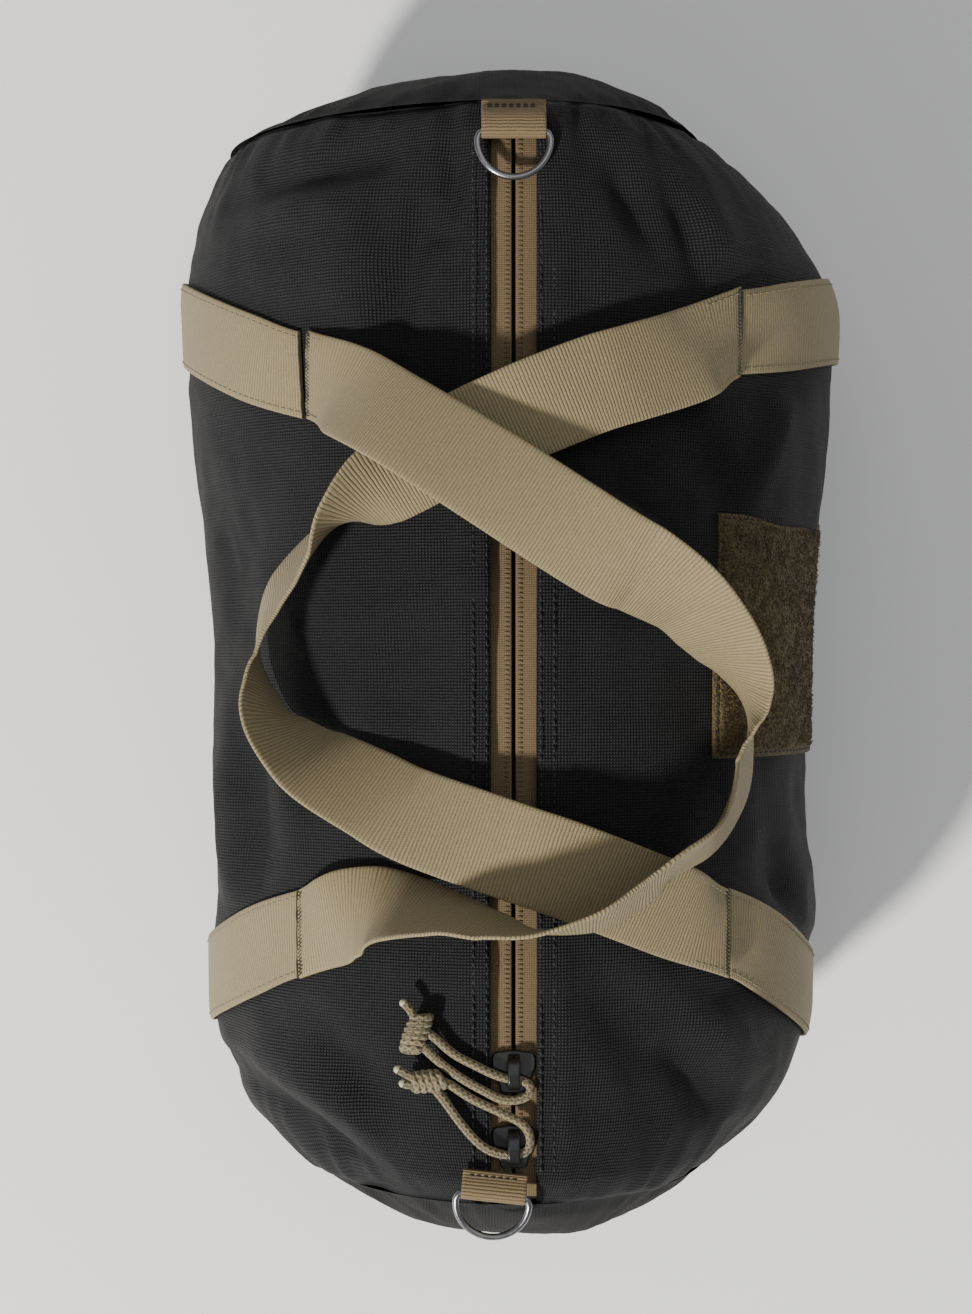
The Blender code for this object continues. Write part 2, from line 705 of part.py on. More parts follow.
def build_rings():
    webbing = material("ring_webbing", (0.32, 0.23, 0.11), 0.75)
    steel = material("ring_steel", (0.05, 0.05, 0.05), 0.25, 0.9)
    add_object("dring_web_head", ring_webbing("dring_web_head", HEAD_BAR, HEAD_SEAM - 1 * MM, 0), webbing)
    add_object(
        "dring_web_foot",
        ring_webbing("dring_web_foot", FOOT_BAR, FOOT_BAR[1] + 8.2 * MM, FOOT_TURN),
        webbing,
    )
    add_ring("dring_head", HEAD_BAR, 0, 0, steel)
    add_ring("dring_foot", FOOT_BAR, FOOT_TURN, FOOT_DROOP, steel)


def build_badges():
    pile = material("loop_patch", (0.10, 0.08, 0.035), 0.95)
    label = material("side_tag", (0.03, 0.03, 0.03), 0.7)
    patch = plate("loop_patch", PATCH_GIRTH, PATCH_Y, 0.6 * MM, PATCH_THICK)
    add_object("loop_patch", patch, pile)
    add_object("side_tag", plate("side_tag", TAG_GIRTH, TAG_Y, 0.6 * MM, TAG_THICK), label)


clear_scene()
build_body()
build_zipper()
build_webbing()
build_rings()
build_badges()
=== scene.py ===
"""The visual model of a small black barrel duffel bag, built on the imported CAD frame."""

import json
import math

import bmesh
import bpy
import numpy as np
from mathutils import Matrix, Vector, noise


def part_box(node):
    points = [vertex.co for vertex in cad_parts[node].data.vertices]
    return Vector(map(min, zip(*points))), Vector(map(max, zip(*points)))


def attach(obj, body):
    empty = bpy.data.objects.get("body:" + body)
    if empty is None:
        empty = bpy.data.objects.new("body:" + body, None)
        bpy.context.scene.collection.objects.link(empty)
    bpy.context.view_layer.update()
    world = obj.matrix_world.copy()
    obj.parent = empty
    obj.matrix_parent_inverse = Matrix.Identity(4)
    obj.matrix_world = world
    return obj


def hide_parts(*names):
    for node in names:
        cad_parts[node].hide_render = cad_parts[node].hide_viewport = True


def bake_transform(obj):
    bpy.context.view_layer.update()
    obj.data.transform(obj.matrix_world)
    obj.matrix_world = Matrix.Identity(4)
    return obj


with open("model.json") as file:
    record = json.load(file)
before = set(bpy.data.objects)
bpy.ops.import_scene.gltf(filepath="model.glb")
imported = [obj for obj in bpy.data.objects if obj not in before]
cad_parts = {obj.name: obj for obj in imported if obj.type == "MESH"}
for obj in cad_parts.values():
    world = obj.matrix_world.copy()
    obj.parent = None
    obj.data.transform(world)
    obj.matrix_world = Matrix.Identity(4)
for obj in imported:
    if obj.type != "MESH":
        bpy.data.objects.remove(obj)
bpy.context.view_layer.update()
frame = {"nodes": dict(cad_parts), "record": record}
MM = 0.001
JOINTS = {joint["name"]: joint for joint in frame["record"]["behaviour"]["joints"]}

# Barrel: y, half width, crown height, base height, height of the widest point
BARREL = np.array([
    (-0.216, 0.087, 0.2195, 0.0140, 0.108),
    (-0.204, 0.103, 0.2250, 0.0090, 0.107),
    (-0.185, 0.120, 0.2250, 0.0026, 0.106),
    (-0.150, 0.131, 0.2250, 0.0026, 0.105),
    (0.000, 0.132, 0.2250, 0.0026, 0.105),
    (0.080, 0.138, 0.2250, 0.0026, 0.105),
    (0.150, 0.143, 0.2250, 0.0026, 0.105),
    (0.188, 0.130, 0.2250, 0.0026, 0.106),
    (0.207, 0.116, 0.2250, 0.0085, 0.107),
    (0.220, 0.104, 0.2190, 0.0140, 0.108),
])
FLAT_SHARE, SIDE_GIRTH, CORNER_GIRTH = 0.6, 0.49, 0.80
FOOT_SEAM, HEAD_SEAM = BARREL[0, 0], BARREL[-1, 0]
HEAD_LEAN, LEAN_FROM, LEAN_POWER = 0.020, 0.145, 1.6
DOME = 0.032

WEB, WEB_SEWN, WEB_THICK, WEB_LIFT = 0.038, 0.034, 0.0018, 0.0008
SHEAR_REACH = 0.034
EDGE_STITCH = 0.86   # where the edge stitching runs, as a share of half the width
TAPE_EDGE = 0.009   # where the body fabric meets the zipper tape
TOPSTITCH_ROWS = (0.0106, 0.0158)   # distance of each row from the zipper's middle
TAPE_DROP = 0.0044   # how far the zipper tape lies under the crown
COIL_PITCH = 0.0019
END_MIDDLE, END_RADIUS = 0.115, 0.11   # an end panel's middle height and mean radius
GIRTH_LENGTH = 0.39   # metres of cloth to one unit of girth, for UVs

# Carry handles: (x, y, z, roll) in millimetres and degrees, as the CAD has them
HANDLES = {
    "handle_left": [
        (-82.4, 113.4, 204.5, 0), (-67.7, 105.6, 223.0, 0), (-49.0, 93.5, 245.5, -12),
        (-34.0, 84.0, 252.5, -12), (-4.0, 65.0, 254.5, -5), (34.8, 40.4, 250.0, 10),
        (51.0, 32.0, 245.5, 25), (67.0, 21.5, 239.0, 39), (78.0, 9.7, 232.5, 46),
        (86.0, -1.5, 225.5, 57), (91.5, -12.0, 219.0, 73), (94.3, -23.0, 215.0, 90),
        (93.2, -37.0, 214.0, 102), (88.5, -53.0, 219.0, 109), (77.5, -69.0, 236.0, 105),
        (61.3, -80.5, 250.5, 106), (47.9, -90.7, 254.5, 109), (32.0, -99.7, 258.5, 107),
        (8.4, -104.6, 258.0, 95), (-8.6, -102.5, 254.0, 80), (-24.7, -99.5, 246.5, 71),
        (-48.2, -97.8, 232.5, 50), (-60.4, -100.2, 223.5, 33), (-73.1, -105.2, 212.0, 13),
        (-86.1, -112.0, 198.0, 0),
    ],
    "handle_right": [
        (91.4, 131.2, 199.6, 0), (69.6, 119.2, 219.5, 0), (48.3, 111.3, 231.5, 0),
        (32.0, 106.0, 236.5, 0), (9.9, 97.1, 240.0, 2), (-6.7, 89.8, 239.5, 4),
        (-21.0, 83.3, 236.0, 12), (-32.7, 78.2, 232.8, 22), (-44.4, 71.6, 232.5, 28),
        (-55.2, 64.2, 233.0, 42), (-65.8, 56.0, 231.0, 68), (-75.2, 47.5, 225.5, 98),
        (-84.4, 38.0, 218.5, 107), (-94.6, 25.5, 212.5, 108), (-100.6, 13.0, 209.0, 100),
        (-102.9, 0.0, 207.0, 92), (-100.6, -13.2, 209.0, 78), (-96.0, -24.4, 213.5, 64),
        (-86.0, -35.3, 219.0, 50), (-75.6, -43.0, 223.0, 37), (-56.0, -53.2, 229.5, 25),
        (-38.1, -62.1, 234.5, 14), (-1.6, -74.8, 239.5, 0), (19.6, -82.0, 238.5, 0),
        (49.1, -94.0, 229.5, 0), (69.6, -103.2, 216.0, 0), (86.6, -111.4, 201.0, 0),
    ],
}
# Bands: (girth, y), with girth as in section()
BANDS = {
    "band_head": [
        (0.200, 0.1134), (0.49, 0.148), (1.0, 0.160), (1.51, 0.148), (1.784, 0.1312),
    ],
    "band_foot": [
        (0.222, -0.1120), (0.49, -0.143), (1.0, -0.160), (1.51, -0.150), (1.777, -0.1114),
    ],
}
PATCH_GIRTH, PATCH_Y = (0.204, 0.416), (-0.041, 0.058)
TAG_GIRTH, TAG_Y = (0.4195, 0.448), (-0.014, 0.014)

# Pull cords: (x, y from the slider's middle, z) in millimetres
CORDS = {
    "pull_cord_upper": ("slider_upper", [
        (-36.6, 17.0, 227.2), (-31.6, 14.8, 226.8), (-27.5, 10.6, 226.4), (-22.0, 6.6, 226.8),
        (-15.8, 3.6, 227.2), (-9.5, 0.4, 227.3), (-3.0, -2.2, 225.9), (2.5, -2.6, 225.8),
        (6.8, -4.6, 226.0), (6.6, -8.4, 226.4), (1.5, -10.4, 227.0), (-5.0, -10.2, 227.2),
        (-11.5, -6.8, 227.3), (-18.0, -3.4, 227.0), (-24.5, 0.8, 226.4), (-30.0, 5.0, 226.2),
        (-33.4, 8.2, 226.4), (-37.2, 12.0, 227.0),
    ]),
    "pull_cord_lower": ("slider_lower", [
        (-31.0, 27.4, 226.8), (-25.6, 25.6, 226.4), (-20.5, 22.0, 226.8), (-14.5, 18.6, 227.2),
        (-7.5, 15.4, 227.3), (-1.0, 12.2, 226.8), (4.2, 9.2, 226.4), (6.6, 4.0, 226.0),
        (6.0, -0.8, 225.8), (2.0, -2.6, 225.8), (-4.0, -2.4, 226.0), (-9.8, -0.6, 227.3),
        (-15.0, 3.4, 227.2), (-20.0, 9.0, 226.8), (-24.5, 15.0, 226.4), (-28.6, 20.6, 226.4),
        (-32.4, 25.0, 226.8),
    ]),
}
CORD_RADIUS, WRAP_RADIUS, TAIL_RADIUS = 0.00175, 0.00165, 0.0016


# Shapes

def slopes(x, v):
    """Slopes at the knots of a table, zero where it turns, so a curve doesn't overshoot."""
    d = np.diff(v) / np.diff(x)
    product = d[:-1] * d[1:]
    inner = np.where(product > 0, 2 * product / (d[:-1] + d[1:] + (product <= 0)), 0)
    return np.concatenate([d[:1], inner, d[-1:]])


def between(y):
    """The barrel table's columns at each y, smoothly and with no overshoot."""
    x = BARREL[:, 0]
    i = np.clip(np.searchsorted(x, y, side="right") - 1, 0, len(x) - 2)
    span = x[i + 1] - x[i]
    t = np.clip((y - x[i]) / span, 0, 1)
    columns = []
    for k in range(1, 5):
        v = BARREL[:, k]
        m = slopes(x, v)
        columns.append(
            v[i] * (2 * t**3 - 3 * t**2 + 1) + v[i + 1] * (3 * t**2 - 2 * t**3)
            + span * (m[i] * (t**3 - 2 * t**2 + t) + m[i + 1] * (t**3 - t**2))
        )
    return columns


def section(g, y):
    """Points of the barrel: g is 0 at the left crown, 1 under the base and 2 at the right crown."""
    g, y = np.broadcast_arrays(np.asarray(g, float), np.asarray(y, float))
    half, top, base, side = between(y)
    share = np.where(g <= 1, g, 2 - g)
    sign = np.where(g <= 1, -1.0, 1.0)
    flat = FLAT_SHARE * half
    upper = np.pi / 2 * share / SIDE_GIRTH
    corner = np.pi / 2 * np.clip((share - SIDE_GIRTH) / (CORNER_GIRTH - SIDE_GIRTH), 0, 1)
    x = np.where(
        share < SIDE_GIRTH, half * np.sin(upper),
        np.where(share < CORNER_GIRTH, flat + (half - flat) * np.cos(corner),
                 flat * (1 - share) / (1 - CORNER_GIRTH)),
    )
    z = np.where(
        share < SIDE_GIRTH, side + (top - side) * np.cos(upper),
        side - (side - base) * np.sin(corner),
    )
    lean = HEAD_LEAN * np.clip((y - LEAN_FROM) / (HEAD_SEAM - LEAN_FROM), 0, None) ** LEAN_POWER
    return np.stack([sign * x - lean * (x / half) ** 2, y, z], axis=-1)


def outward(g, y):
    """The barrel's unit normals."""
    along = section(g + 0.004, y) - section(g - 0.004, y)
    across = section(g, y + 0.001) - section(g, y - 0.001)
    return unit(np.cross(across, along))


def surface(g, y, lift):
    """Points at a height over the barrel."""
    return section(g, y) + np.asarray(lift)[..., None] * outward(g, y)


def girth_at(x, y):
    """The girth at a distance x from the zipper's middle, on the left side."""
    return np.arcsin(x / between(y)[0]) / (np.pi / 2) * SIDE_GIRTH


def crown_at(y):
    return float(between(np.array([y]))[1][0])


def smooth_path(points, steps):
    """Points on a Catmull-Rom curve through the given ones, of any dimension."""
    p = np.asarray(points, float)
    p = np.vstack([2 * p[0] - p[1], p, 2 * p[-1] - p[-2]])
    t = (np.arange(steps) / steps)[:, None]
    path = [
        0.5 * (2 * b + (c - a) * t + (2 * a - 5 * b + 4 * c - d) * t**2
               + (3 * b - a - 3 * c + d) * t**3)
        for a, b, c, d in zip(p, p[1:], p[2:], p[3:])
    ]
    return np.vstack([*path, p[-2]])


def arc(points):
    """Length along a path up to each of its points."""
    steps = np.linalg.norm(np.diff(points, axis=0), axis=1)
    return np.concatenate([[0.0], np.cumsum(steps)])


def resample(points, spacing):
    """A path's points at even steps."""
    s = arc(points)
    count = max(int(round(s[-1] / spacing)), 2)
    at = np.linspace(0, s[-1], count + 1)
    return np.stack([np.interp(at, s, points[:, k]) for k in range(points.shape[1])], axis=1)


def ramp(value, low, high):
    """A smooth step from 0 at low to 1 at high."""
    t = np.clip((value - low) / (high - low), 0, 1)
    return t * t * (3 - 2 * t)


def fractal(points, scale, octaves=3):
    """Smooth noise of about -1 to 1 at each point, the same on every run."""
    return np.array([
        sum(noise.noise(Vector(p) * (scale * 2**k)) / 2**k for k in range(octaves))
        for p in points
    ])


def unit(vectors):
    return vectors / np.linalg.norm(vectors, axis=-1, keepdims=True)


def distance_to(points, path):
    """Each point's distance to the nearest point of a path, one metre at most."""
    near = np.full(len(points), 1.0)
    for station in path:
        near = np.minimum(near, np.linalg.norm(points - station, axis=1))
    return near


def new_object(name, vertices, faces, finish, uv):
    mesh = bpy.data.meshes.new(name)
    mesh.from_pydata([tuple(v) for v in vertices], [], [tuple(int(i) for i in f) for f in faces])
    layer = mesh.uv_layers.new(name="metres")
    corners = np.empty(len(mesh.loops), np.int32)
    mesh.loops.foreach_get("vertex_index", corners)
    layer.data.foreach_set("uv", np.asarray(uv, np.float32)[corners].ravel())
    mesh.materials.append(finish)
    mesh.shade_smooth()
    mesh.validate()
    obj = bpy.data.objects.new(name, mesh)
    bpy.context.scene.collection.objects.link(obj)
    return obj


def declare(piece, body, node=None):
    """The body a piece rides on, and the CAD node it stands in for, which is hidden."""
    if node:
        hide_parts(node)
    if body:
        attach(piece, body)


def chart(along, across):
    """UVs of a sheet from its lengths along the rows and across the columns."""
    return np.stack(np.broadcast_arrays(along[:, None], across[None, :]), axis=-1)


def quads(index):
    """Four-sided faces between the rows and columns of an array of vertex numbers."""
    corners = [index[:-1, :-1], index[:-1, 1:], index[1:, 1:], index[1:, :-1]]
    return np.stack(corners, axis=-1).reshape(-1, 4)


def grid(name, points, finish, uv, wrap_columns=False, flip=False):
    """A sheet from an array of rows and columns of points."""
    rows, columns = points.shape[:2]
    index = np.arange(rows * columns).reshape(rows, columns)
    if wrap_columns:
        index = np.hstack([index, index[:, :1]])
    faces = quads(index)[:, ::-1] if flip else quads(index)
    return new_object(name, points.reshape(-1, 3), faces, finish, uv.reshape(-1, 2))


def frames_along(points):
    """Two unit vectors across the path at each point, carried along it with little twist."""
    tangent = unit(np.gradient(points, axis=0))
    first = np.array([0.0, 0.0, 1.0])
    if abs(first @ tangent[0]) > 0.95:
        first = np.array([1.0, 0.0, 0.0])
    sides = []
    for t in tangent:
        first = unit(first - (first @ t) * t)
        sides.append(first)
    sides = np.array(sides)
    return sides, np.cross(tangent, sides)


def tubes(name, paths, finish, sides=6, closed=False):
    """Many round tubes in one mesh. Each path is (points, radii)."""
    vertices, faces, uv, base = [], [], [], 0
    turn = np.arange(sides) * 2 * np.pi / sides
    cosine, sine = np.cos(turn)[None, :, None], np.sin(turn)[None, :, None]
    for points, radii in paths:
        points = np.asarray(points, float)
        count = len(points)
        radii = np.broadcast_to(radii, count)[:, None, None]
        across, up = frames_along(points)
        rings = points[:, None] + radii * (cosine * across[:, None] + sine * up[:, None])
        vertices.append(rings.reshape(-1, 3))
        uv.append(chart(arc(points), turn / (2 * np.pi)).reshape(-1, 2))
        ring = np.arange(count * sides).reshape(count, sides) + base
        around = np.hstack([ring, ring[:, :1]])
        if closed:
            around = np.vstack([around, around[:1]])
        faces.extend(quads(around).tolist())
        if not closed:
            faces.append(ring[0][::-1].tolist())
            faces.append(ring[-1].tolist())
        base += count * sides
    return new_object(name, np.vstack(vertices), faces, finish, np.vstack(uv))


# One stitch: where along it, how high and how thick, as shares of its length and radius
STITCH_AT = np.array([0.0, 0.12, 0.5, 0.88, 1.0])
STITCH_RISE = np.array([-1.0, 0.25, 0.6, 0.25, -1.0])[:, None]
STITCH_SIZE = np.array([0.5, 0.9, 1.0, 0.9, 0.5])


def stitches(name, lines, finish, body, length, gap, radius):
    """Rows of thread, with sizes in millimetres. Each line is (points, normals) on the cloth."""
    paths = []
    for points, normals in lines:
        s = arc(points)
        start = gap * MM
        while start + length * MM < s[-1]:
            at = start + STITCH_AT * length * MM
            middle, up = (
                np.stack([np.interp(at, s, rows[:, k]) for k in range(3)], 1)
                for rows in (points, normals))
            paths.append((middle + STITCH_RISE * radius * MM * up, STITCH_SIZE * radius * MM))
            start += (length + gap) * MM
    thread = tubes(name, paths, finish, sides=5)
    declare(thread, body)
    return thread


# Materials

def shader_tree(name, roughness, metallic=0.0):
    made = bpy.data.materials.new(name)
    made.use_nodes = True
    tree = made.node_tree
    shader = tree.nodes["Principled BSDF"]
    shader.inputs["Roughness"].default_value = roughness
    shader.inputs["Metallic"].default_value = metallic
    return made, tree, shader


def fill(tree, socket, value):
    if isinstance(value, bpy.types.NodeSocket):
        tree.links.new(value, socket)
    else:
        socket.default_value = value


def put(tree, kind, *inputs, **named):
    """A node with its inputs linked or set, in order or by name, and its own settings."""
    made = tree.nodes.new(kind)
    for key, value in named.items():
        if key in made.inputs:
            fill(tree, made.inputs[key], value)
        else:
            setattr(made, key, value)
    for socket, value in zip(made.inputs, inputs):
        fill(tree, socket, value)
    return made


def maths(tree, operation, *inputs):
    return put(tree, "ShaderNodeMath", *inputs, operation=operation).outputs[0]


def ridges(tree, turned):
    return maths(tree, "ABSOLUTE", maths(tree, "SINE", turned))


def wave(tree, coordinate, pitch):
    """|sin| along a coordinate in metres: one ridge per pitch."""
    return ridges(tree, maths(tree, "MULTIPLY", coordinate, math.pi / pitch))


def tinted(tree, shader, share, dark, colour):
    """Base colour from dark at share 0 to colour at share 1."""
    tint = put(tree, "ShaderNodeMix", share, data_type="RGBA", clamp_factor=True)
    tint.inputs[6].default_value = (*dark, 1)
    tint.inputs[7].default_value = (*colour, 1)
    tree.links.new(tint.outputs[2], shader.inputs["Base Color"])


def bumped(tree, shader, height, depth):
    bump = put(tree, "ShaderNodeBump", Distance=depth, Height=height)
    tree.links.new(bump.outputs[0], shader.inputs["Normal"])


def cloth(name, colour, dark, weave, pitch, depth, roughness, sheen=0.0, mottle=0.25, painted_weave_shade=0.5):
    """Woven cloth on metre UVs. weave is plain, rib (ribs across the length) or pile.

    mottle is how far the colour drifts in patches; the last argument is how much painted shade and
    highlight the weave's height puts in the colour.
    """
    made, tree, shader = shader_tree(name, roughness)
    shader.inputs["Specular IOR Level"].default_value = 0.2
    if sheen:
        shader.inputs["Sheen Weight"].default_value = sheen
        shader.inputs["Sheen Roughness"].default_value = 0.5
    uv = put(tree, "ShaderNodeUVMap", uv_map="metres").outputs[0]
    axes = put(tree, "ShaderNodeSeparateXYZ", uv)
    u, v = axes.outputs[0], axes.outputs[1]
    place = put(tree, "ShaderNodeTexCoord").outputs["Object"]
    wander = put(tree, "ShaderNodeTexNoise", place, Scale=260.0, Detail=2.0)
    wobble = maths(tree, "MULTIPLY_ADD", wander.outputs[0], pitch * 0.35, -pitch * 0.17)
    u = maths(tree, "ADD", u, wobble)
    v = maths(tree, "ADD", v, wobble)
    if weave == "plain":
        height = maths(tree, "MULTIPLY", wave(tree, u, pitch), wave(tree, v, pitch))
        height = maths(tree, "POWER", height, 0.6)
    elif weave == "rib":
        rib = maths(tree, "POWER", wave(tree, u, pitch), 0.7)
        thread = wave(tree, maths(tree, "ADD", v, maths(tree, "MULTIPLY", u, 0.5)), pitch * 0.55)
        height = maths(tree, "MULTIPLY", rib, maths(tree, "MULTIPLY_ADD", thread, 0.35, 0.65))
    else:
        curls = put(tree, "ShaderNodeTexVoronoi", place, Scale=1 / pitch)
        height = maths(tree, "SUBTRACT", 1.0, curls.outputs["Distance"])
    patches = put(tree, "ShaderNodeTexNoise", place, Scale=22.0, Detail=4.0, Roughness=0.65)
    grain = put(tree, "ShaderNodeTexNoise", place, Scale=900.0, Detail=3.0)
    # painted shade in the weave's hollows and painted highlight on its raised threads, from the
    # weave's height
    share = maths(tree, "MULTIPLY_ADD", height, painted_weave_shade, 1 - painted_weave_shade)
    for source, amount in ((patches, mottle), (grain, 0.5)):
        change = maths(tree, "MULTIPLY_ADD", source.outputs[0], amount, -amount * 0.5)
        share = maths(tree, "ADD", share, change)
    tinted(tree, shader, share, dark, colour)
    relief = maths(tree, "ADD", height, maths(tree, "MULTIPLY", grain.outputs[0], 0.35))
    bumped(tree, shader, relief, depth)
    return made


def enamel(name, colour, roughness, metallic):
    """Painted or plated metal with faint scuffs."""
    made, tree, shader = shader_tree(name, roughness, metallic)
    shader.inputs["Base Color"].default_value = (*colour, 1)
    shader.inputs["Coat Weight"].default_value = 0.3
    place = put(tree, "ShaderNodeTexCoord").outputs["Object"]
    scuffs = put(tree, "ShaderNodeTexNoise", place, Scale=420.0, Detail=5.0)
    worn = maths(tree, "MULTIPLY_ADD", scuffs.outputs[0], 0.3, roughness - 0.1)
    tree.links.new(worn, shader.inputs["Roughness"])
    return made


def braid(name, colour, dark):
    """Braided cord, on UVs of metres along and turns around."""
    made, tree, shader = shader_tree(name, 0.75)
    shader.inputs["Sheen Weight"].default_value = 0.15
    uv = put(tree, "ShaderNodeUVMap", uv_map="metres").outputs[0]
    axes = put(tree, "ShaderNodeSeparateXYZ", uv)
    along = maths(tree, "MULTIPLY", axes.outputs[0], math.pi / 0.0026)
    around = maths(tree, "MULTIPLY", axes.outputs[1], math.pi * 4)
    strands = [ridges(tree, maths(tree, way, along, around)) for way in ("ADD", "SUBTRACT")]
    height = maths(tree, "POWER", maths(tree, "MAXIMUM", *strands), 1.5)
    # painted shade: the colour darkens in the grooves between the strands
    tinted(tree, shader, height, dark, colour)
    bumped(tree, shader, height, 0.0004)
    return made


def plain(name, colour, roughness):
    made, _, shader = shader_tree(name, roughness)
    shader.inputs["Base Color"].default_value = (*colour, 1)
    return made


# The weave's height tints each cloth: painted shade in its hollows and painted highlight on its
# tops
FABRIC = cloth(
    "black_weave", (0.0170, 0.0172, 0.0190), (0.0022, 0.0022, 0.0025), "plain",
    pitch=0.00125, depth=0.0005, roughness=0.66, mottle=0.4, painted_weave_shade=0.75)
# A darker copy of the black weave, painted shade: the side-lit ends would show greyer than the body
END_FABRIC_SHADED = cloth(
    "black_weave_ends_painted_shade", (0.0090, 0.0091, 0.0100), (0.0016, 0.0016, 0.0018), "plain",
    pitch=0.00125, depth=0.0003, roughness=0.8, mottle=0.4, painted_weave_shade=0.75)
HANDLE_WEB = cloth(
    "olive_webbing", (0.30, 0.243, 0.135), (0.08, 0.064, 0.034), "rib",
    pitch=0.0014, depth=0.00036, roughness=0.6, sheen=0.05, mottle=0.2, painted_weave_shade=0.6)
RING_WEB = cloth(
    "coyote_webbing", (0.21, 0.15, 0.078), (0.06, 0.042, 0.02), "rib",
    pitch=0.0013, depth=0.0004, roughness=0.7, sheen=0.05, mottle=0.25, painted_weave_shade=0.6)
TAPE = cloth(
    "coyote_tape", (0.165, 0.118, 0.064), (0.055, 0.038, 0.02), "plain",
    pitch=0.0009, depth=0.0002, roughness=0.8)
COIL = cloth(
    "coyote_coil", (0.16, 0.115, 0.063), (0.06, 0.042, 0.022), "plain",
    pitch=0.0007, depth=0.0001, roughness=0.55)
PILE = cloth(
    "loop_pile", (0.15, 0.112, 0.052), (0.014, 0.010, 0.004), "pile",
    pitch=0.0011, depth=0.0007, roughness=0.95, sheen=0.1, mottle=0.9, painted_weave_shade=0.8)
TAG = cloth(
    "tag_weave", (0.05, 0.05, 0.05), (0.012, 0.012, 0.012), "plain",
    pitch=0.0007, depth=0.0001, roughness=0.7)
CORD = braid("olive_cord", (0.21, 0.17, 0.09), (0.045, 0.036, 0.018))
METAL = enamel("slider_enamel", (0.012, 0.012, 0.013), 0.28, 0.5)
STEEL = enamel("gunmetal", (0.20, 0.20, 0.21), 0.2, 0.95)
# Black for the hidden seam bindings; on the sheet under the zipper it is painted shade of the bag's
# inside
LINING_AND_SHADE = plain("black_lining_and_painted_shade", (0.008, 0.008, 0.009), 0.9)
THREAD = plain("black_thread", (0.010, 0.010, 0.011), 0.6)
TAN_THREAD = plain("tan_thread", (0.20, 0.17, 0.10), 0.7)
MELT = plain("melted_end", (0.42, 0.38, 0.27), 0.45)


# Camera, straight above as the photograph was taken

def add_camera():
    data = bpy.data.cameras.new("camera")
    data.sensor_fit = "VERTICAL"
    data.angle_y = math.radians(32.64)
    camera = bpy.data.objects.new("camera", data)
    bpy.context.scene.collection.objects.link(camera)
    camera.location = (-0.0109, 0.0, 1.105)
    bpy.context.scene.camera = camera


# Pull cords and knots

def knot_wraps(middle, direction, count, radius, cord):
    """Turns of cord stacked along a knot's axis, each leaning a little, and a core."""
    direction = unit(np.asarray(direction, float))
    side = unit(np.cross(direction, (0, 0, 1.0)))
    up = np.cross(side, direction)
    turn = np.linspace(0, 2 * np.pi, 25)[:-1]
    loop = np.cos(turn)[:, None] * side + 0.88 * np.sin(turn)[:, None] * up
    paths = []
    for i in range(count):
        from_middle = i - (count - 1) / 2
        place = middle + from_middle * 1.55 * cord * direction
        swell = 1 - 0.22 * (abs(from_middle) / (count / 2)) ** 2
        lean = 0.85 * cord * np.sin(turn + 0.5 + 0.15 * i)
        paths.append((place + radius * swell * loop + lean[:, None] * direction, cord))
    reach = (count - 0.6) / 2 * 1.55 * cord
    core = middle + np.linspace(-reach, reach, 7)[:, None] * direction
    return paths, (core, 0.85 * radius * np.array([0.5, 0.85, 0.97, 1.0, 0.97, 0.85, 0.5]))


def add_pull(label, axis, count, radius, tails):
    """A slider's cord loop, the knot that closes it and the knot's loose ends."""
    cord_name, knot_name, body = "pull_cord_" + label, "pull_knot_" + label, "pull_" + label
    slider, route = CORDS[cord_name]
    low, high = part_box(slider)
    y0 = (low[1] + high[1]) / 2
    points = np.array([(x * MM, y0 + y * MM, z * MM) for x, y, z in route])
    path = resample(smooth_path(points, 12), 0.0009)
    for _ in range(12):
        path[1:-1] = 0.25 * path[:-2] + 0.5 * path[1:-1] + 0.25 * path[2:]
    path = resample(path, 0.0011)
    cord = tubes(cord_name + "_braid", [(path, CORD_RADIUS)], CORD, sides=16)
    declare(cord, body, cord_name)
    low, high = (np.array(corner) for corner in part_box(knot_name))
    middle = (low + high) / 2
    wraps, core = knot_wraps(middle, axis, count, radius, WRAP_RADIUS)
    knot = tubes(knot_name + "_wraps", wraps, CORD, 12, closed=True)
    inside = tubes(knot_name + "_core", [core], CORD, 16)
    declare(inside, body)
    declare(knot, body, knot_name)
    for i, offsets in enumerate(tails):
        line = smooth_path([middle + np.array(o) * MM for o in offsets], 6)
        tail = tubes(f"pull_tail_{label}_{i}", [(line, TAIL_RADIUS)], CORD, 12)
        last = unit(line[-1] - line[-2])
        beads = np.array([line[-1] + last * d * MM for d in (-0.8, 0.0, 0.7, 1.3, 1.6)])
        sizes = np.array([1.55, 1.65, 1.5, 1.0, 0.3]) * MM
        melt = tubes(f"pull_melt_{label}_{i}", [(beads, sizes)], MELT, 12)
        for piece in (tail, melt):
            declare(piece, body)


# Body

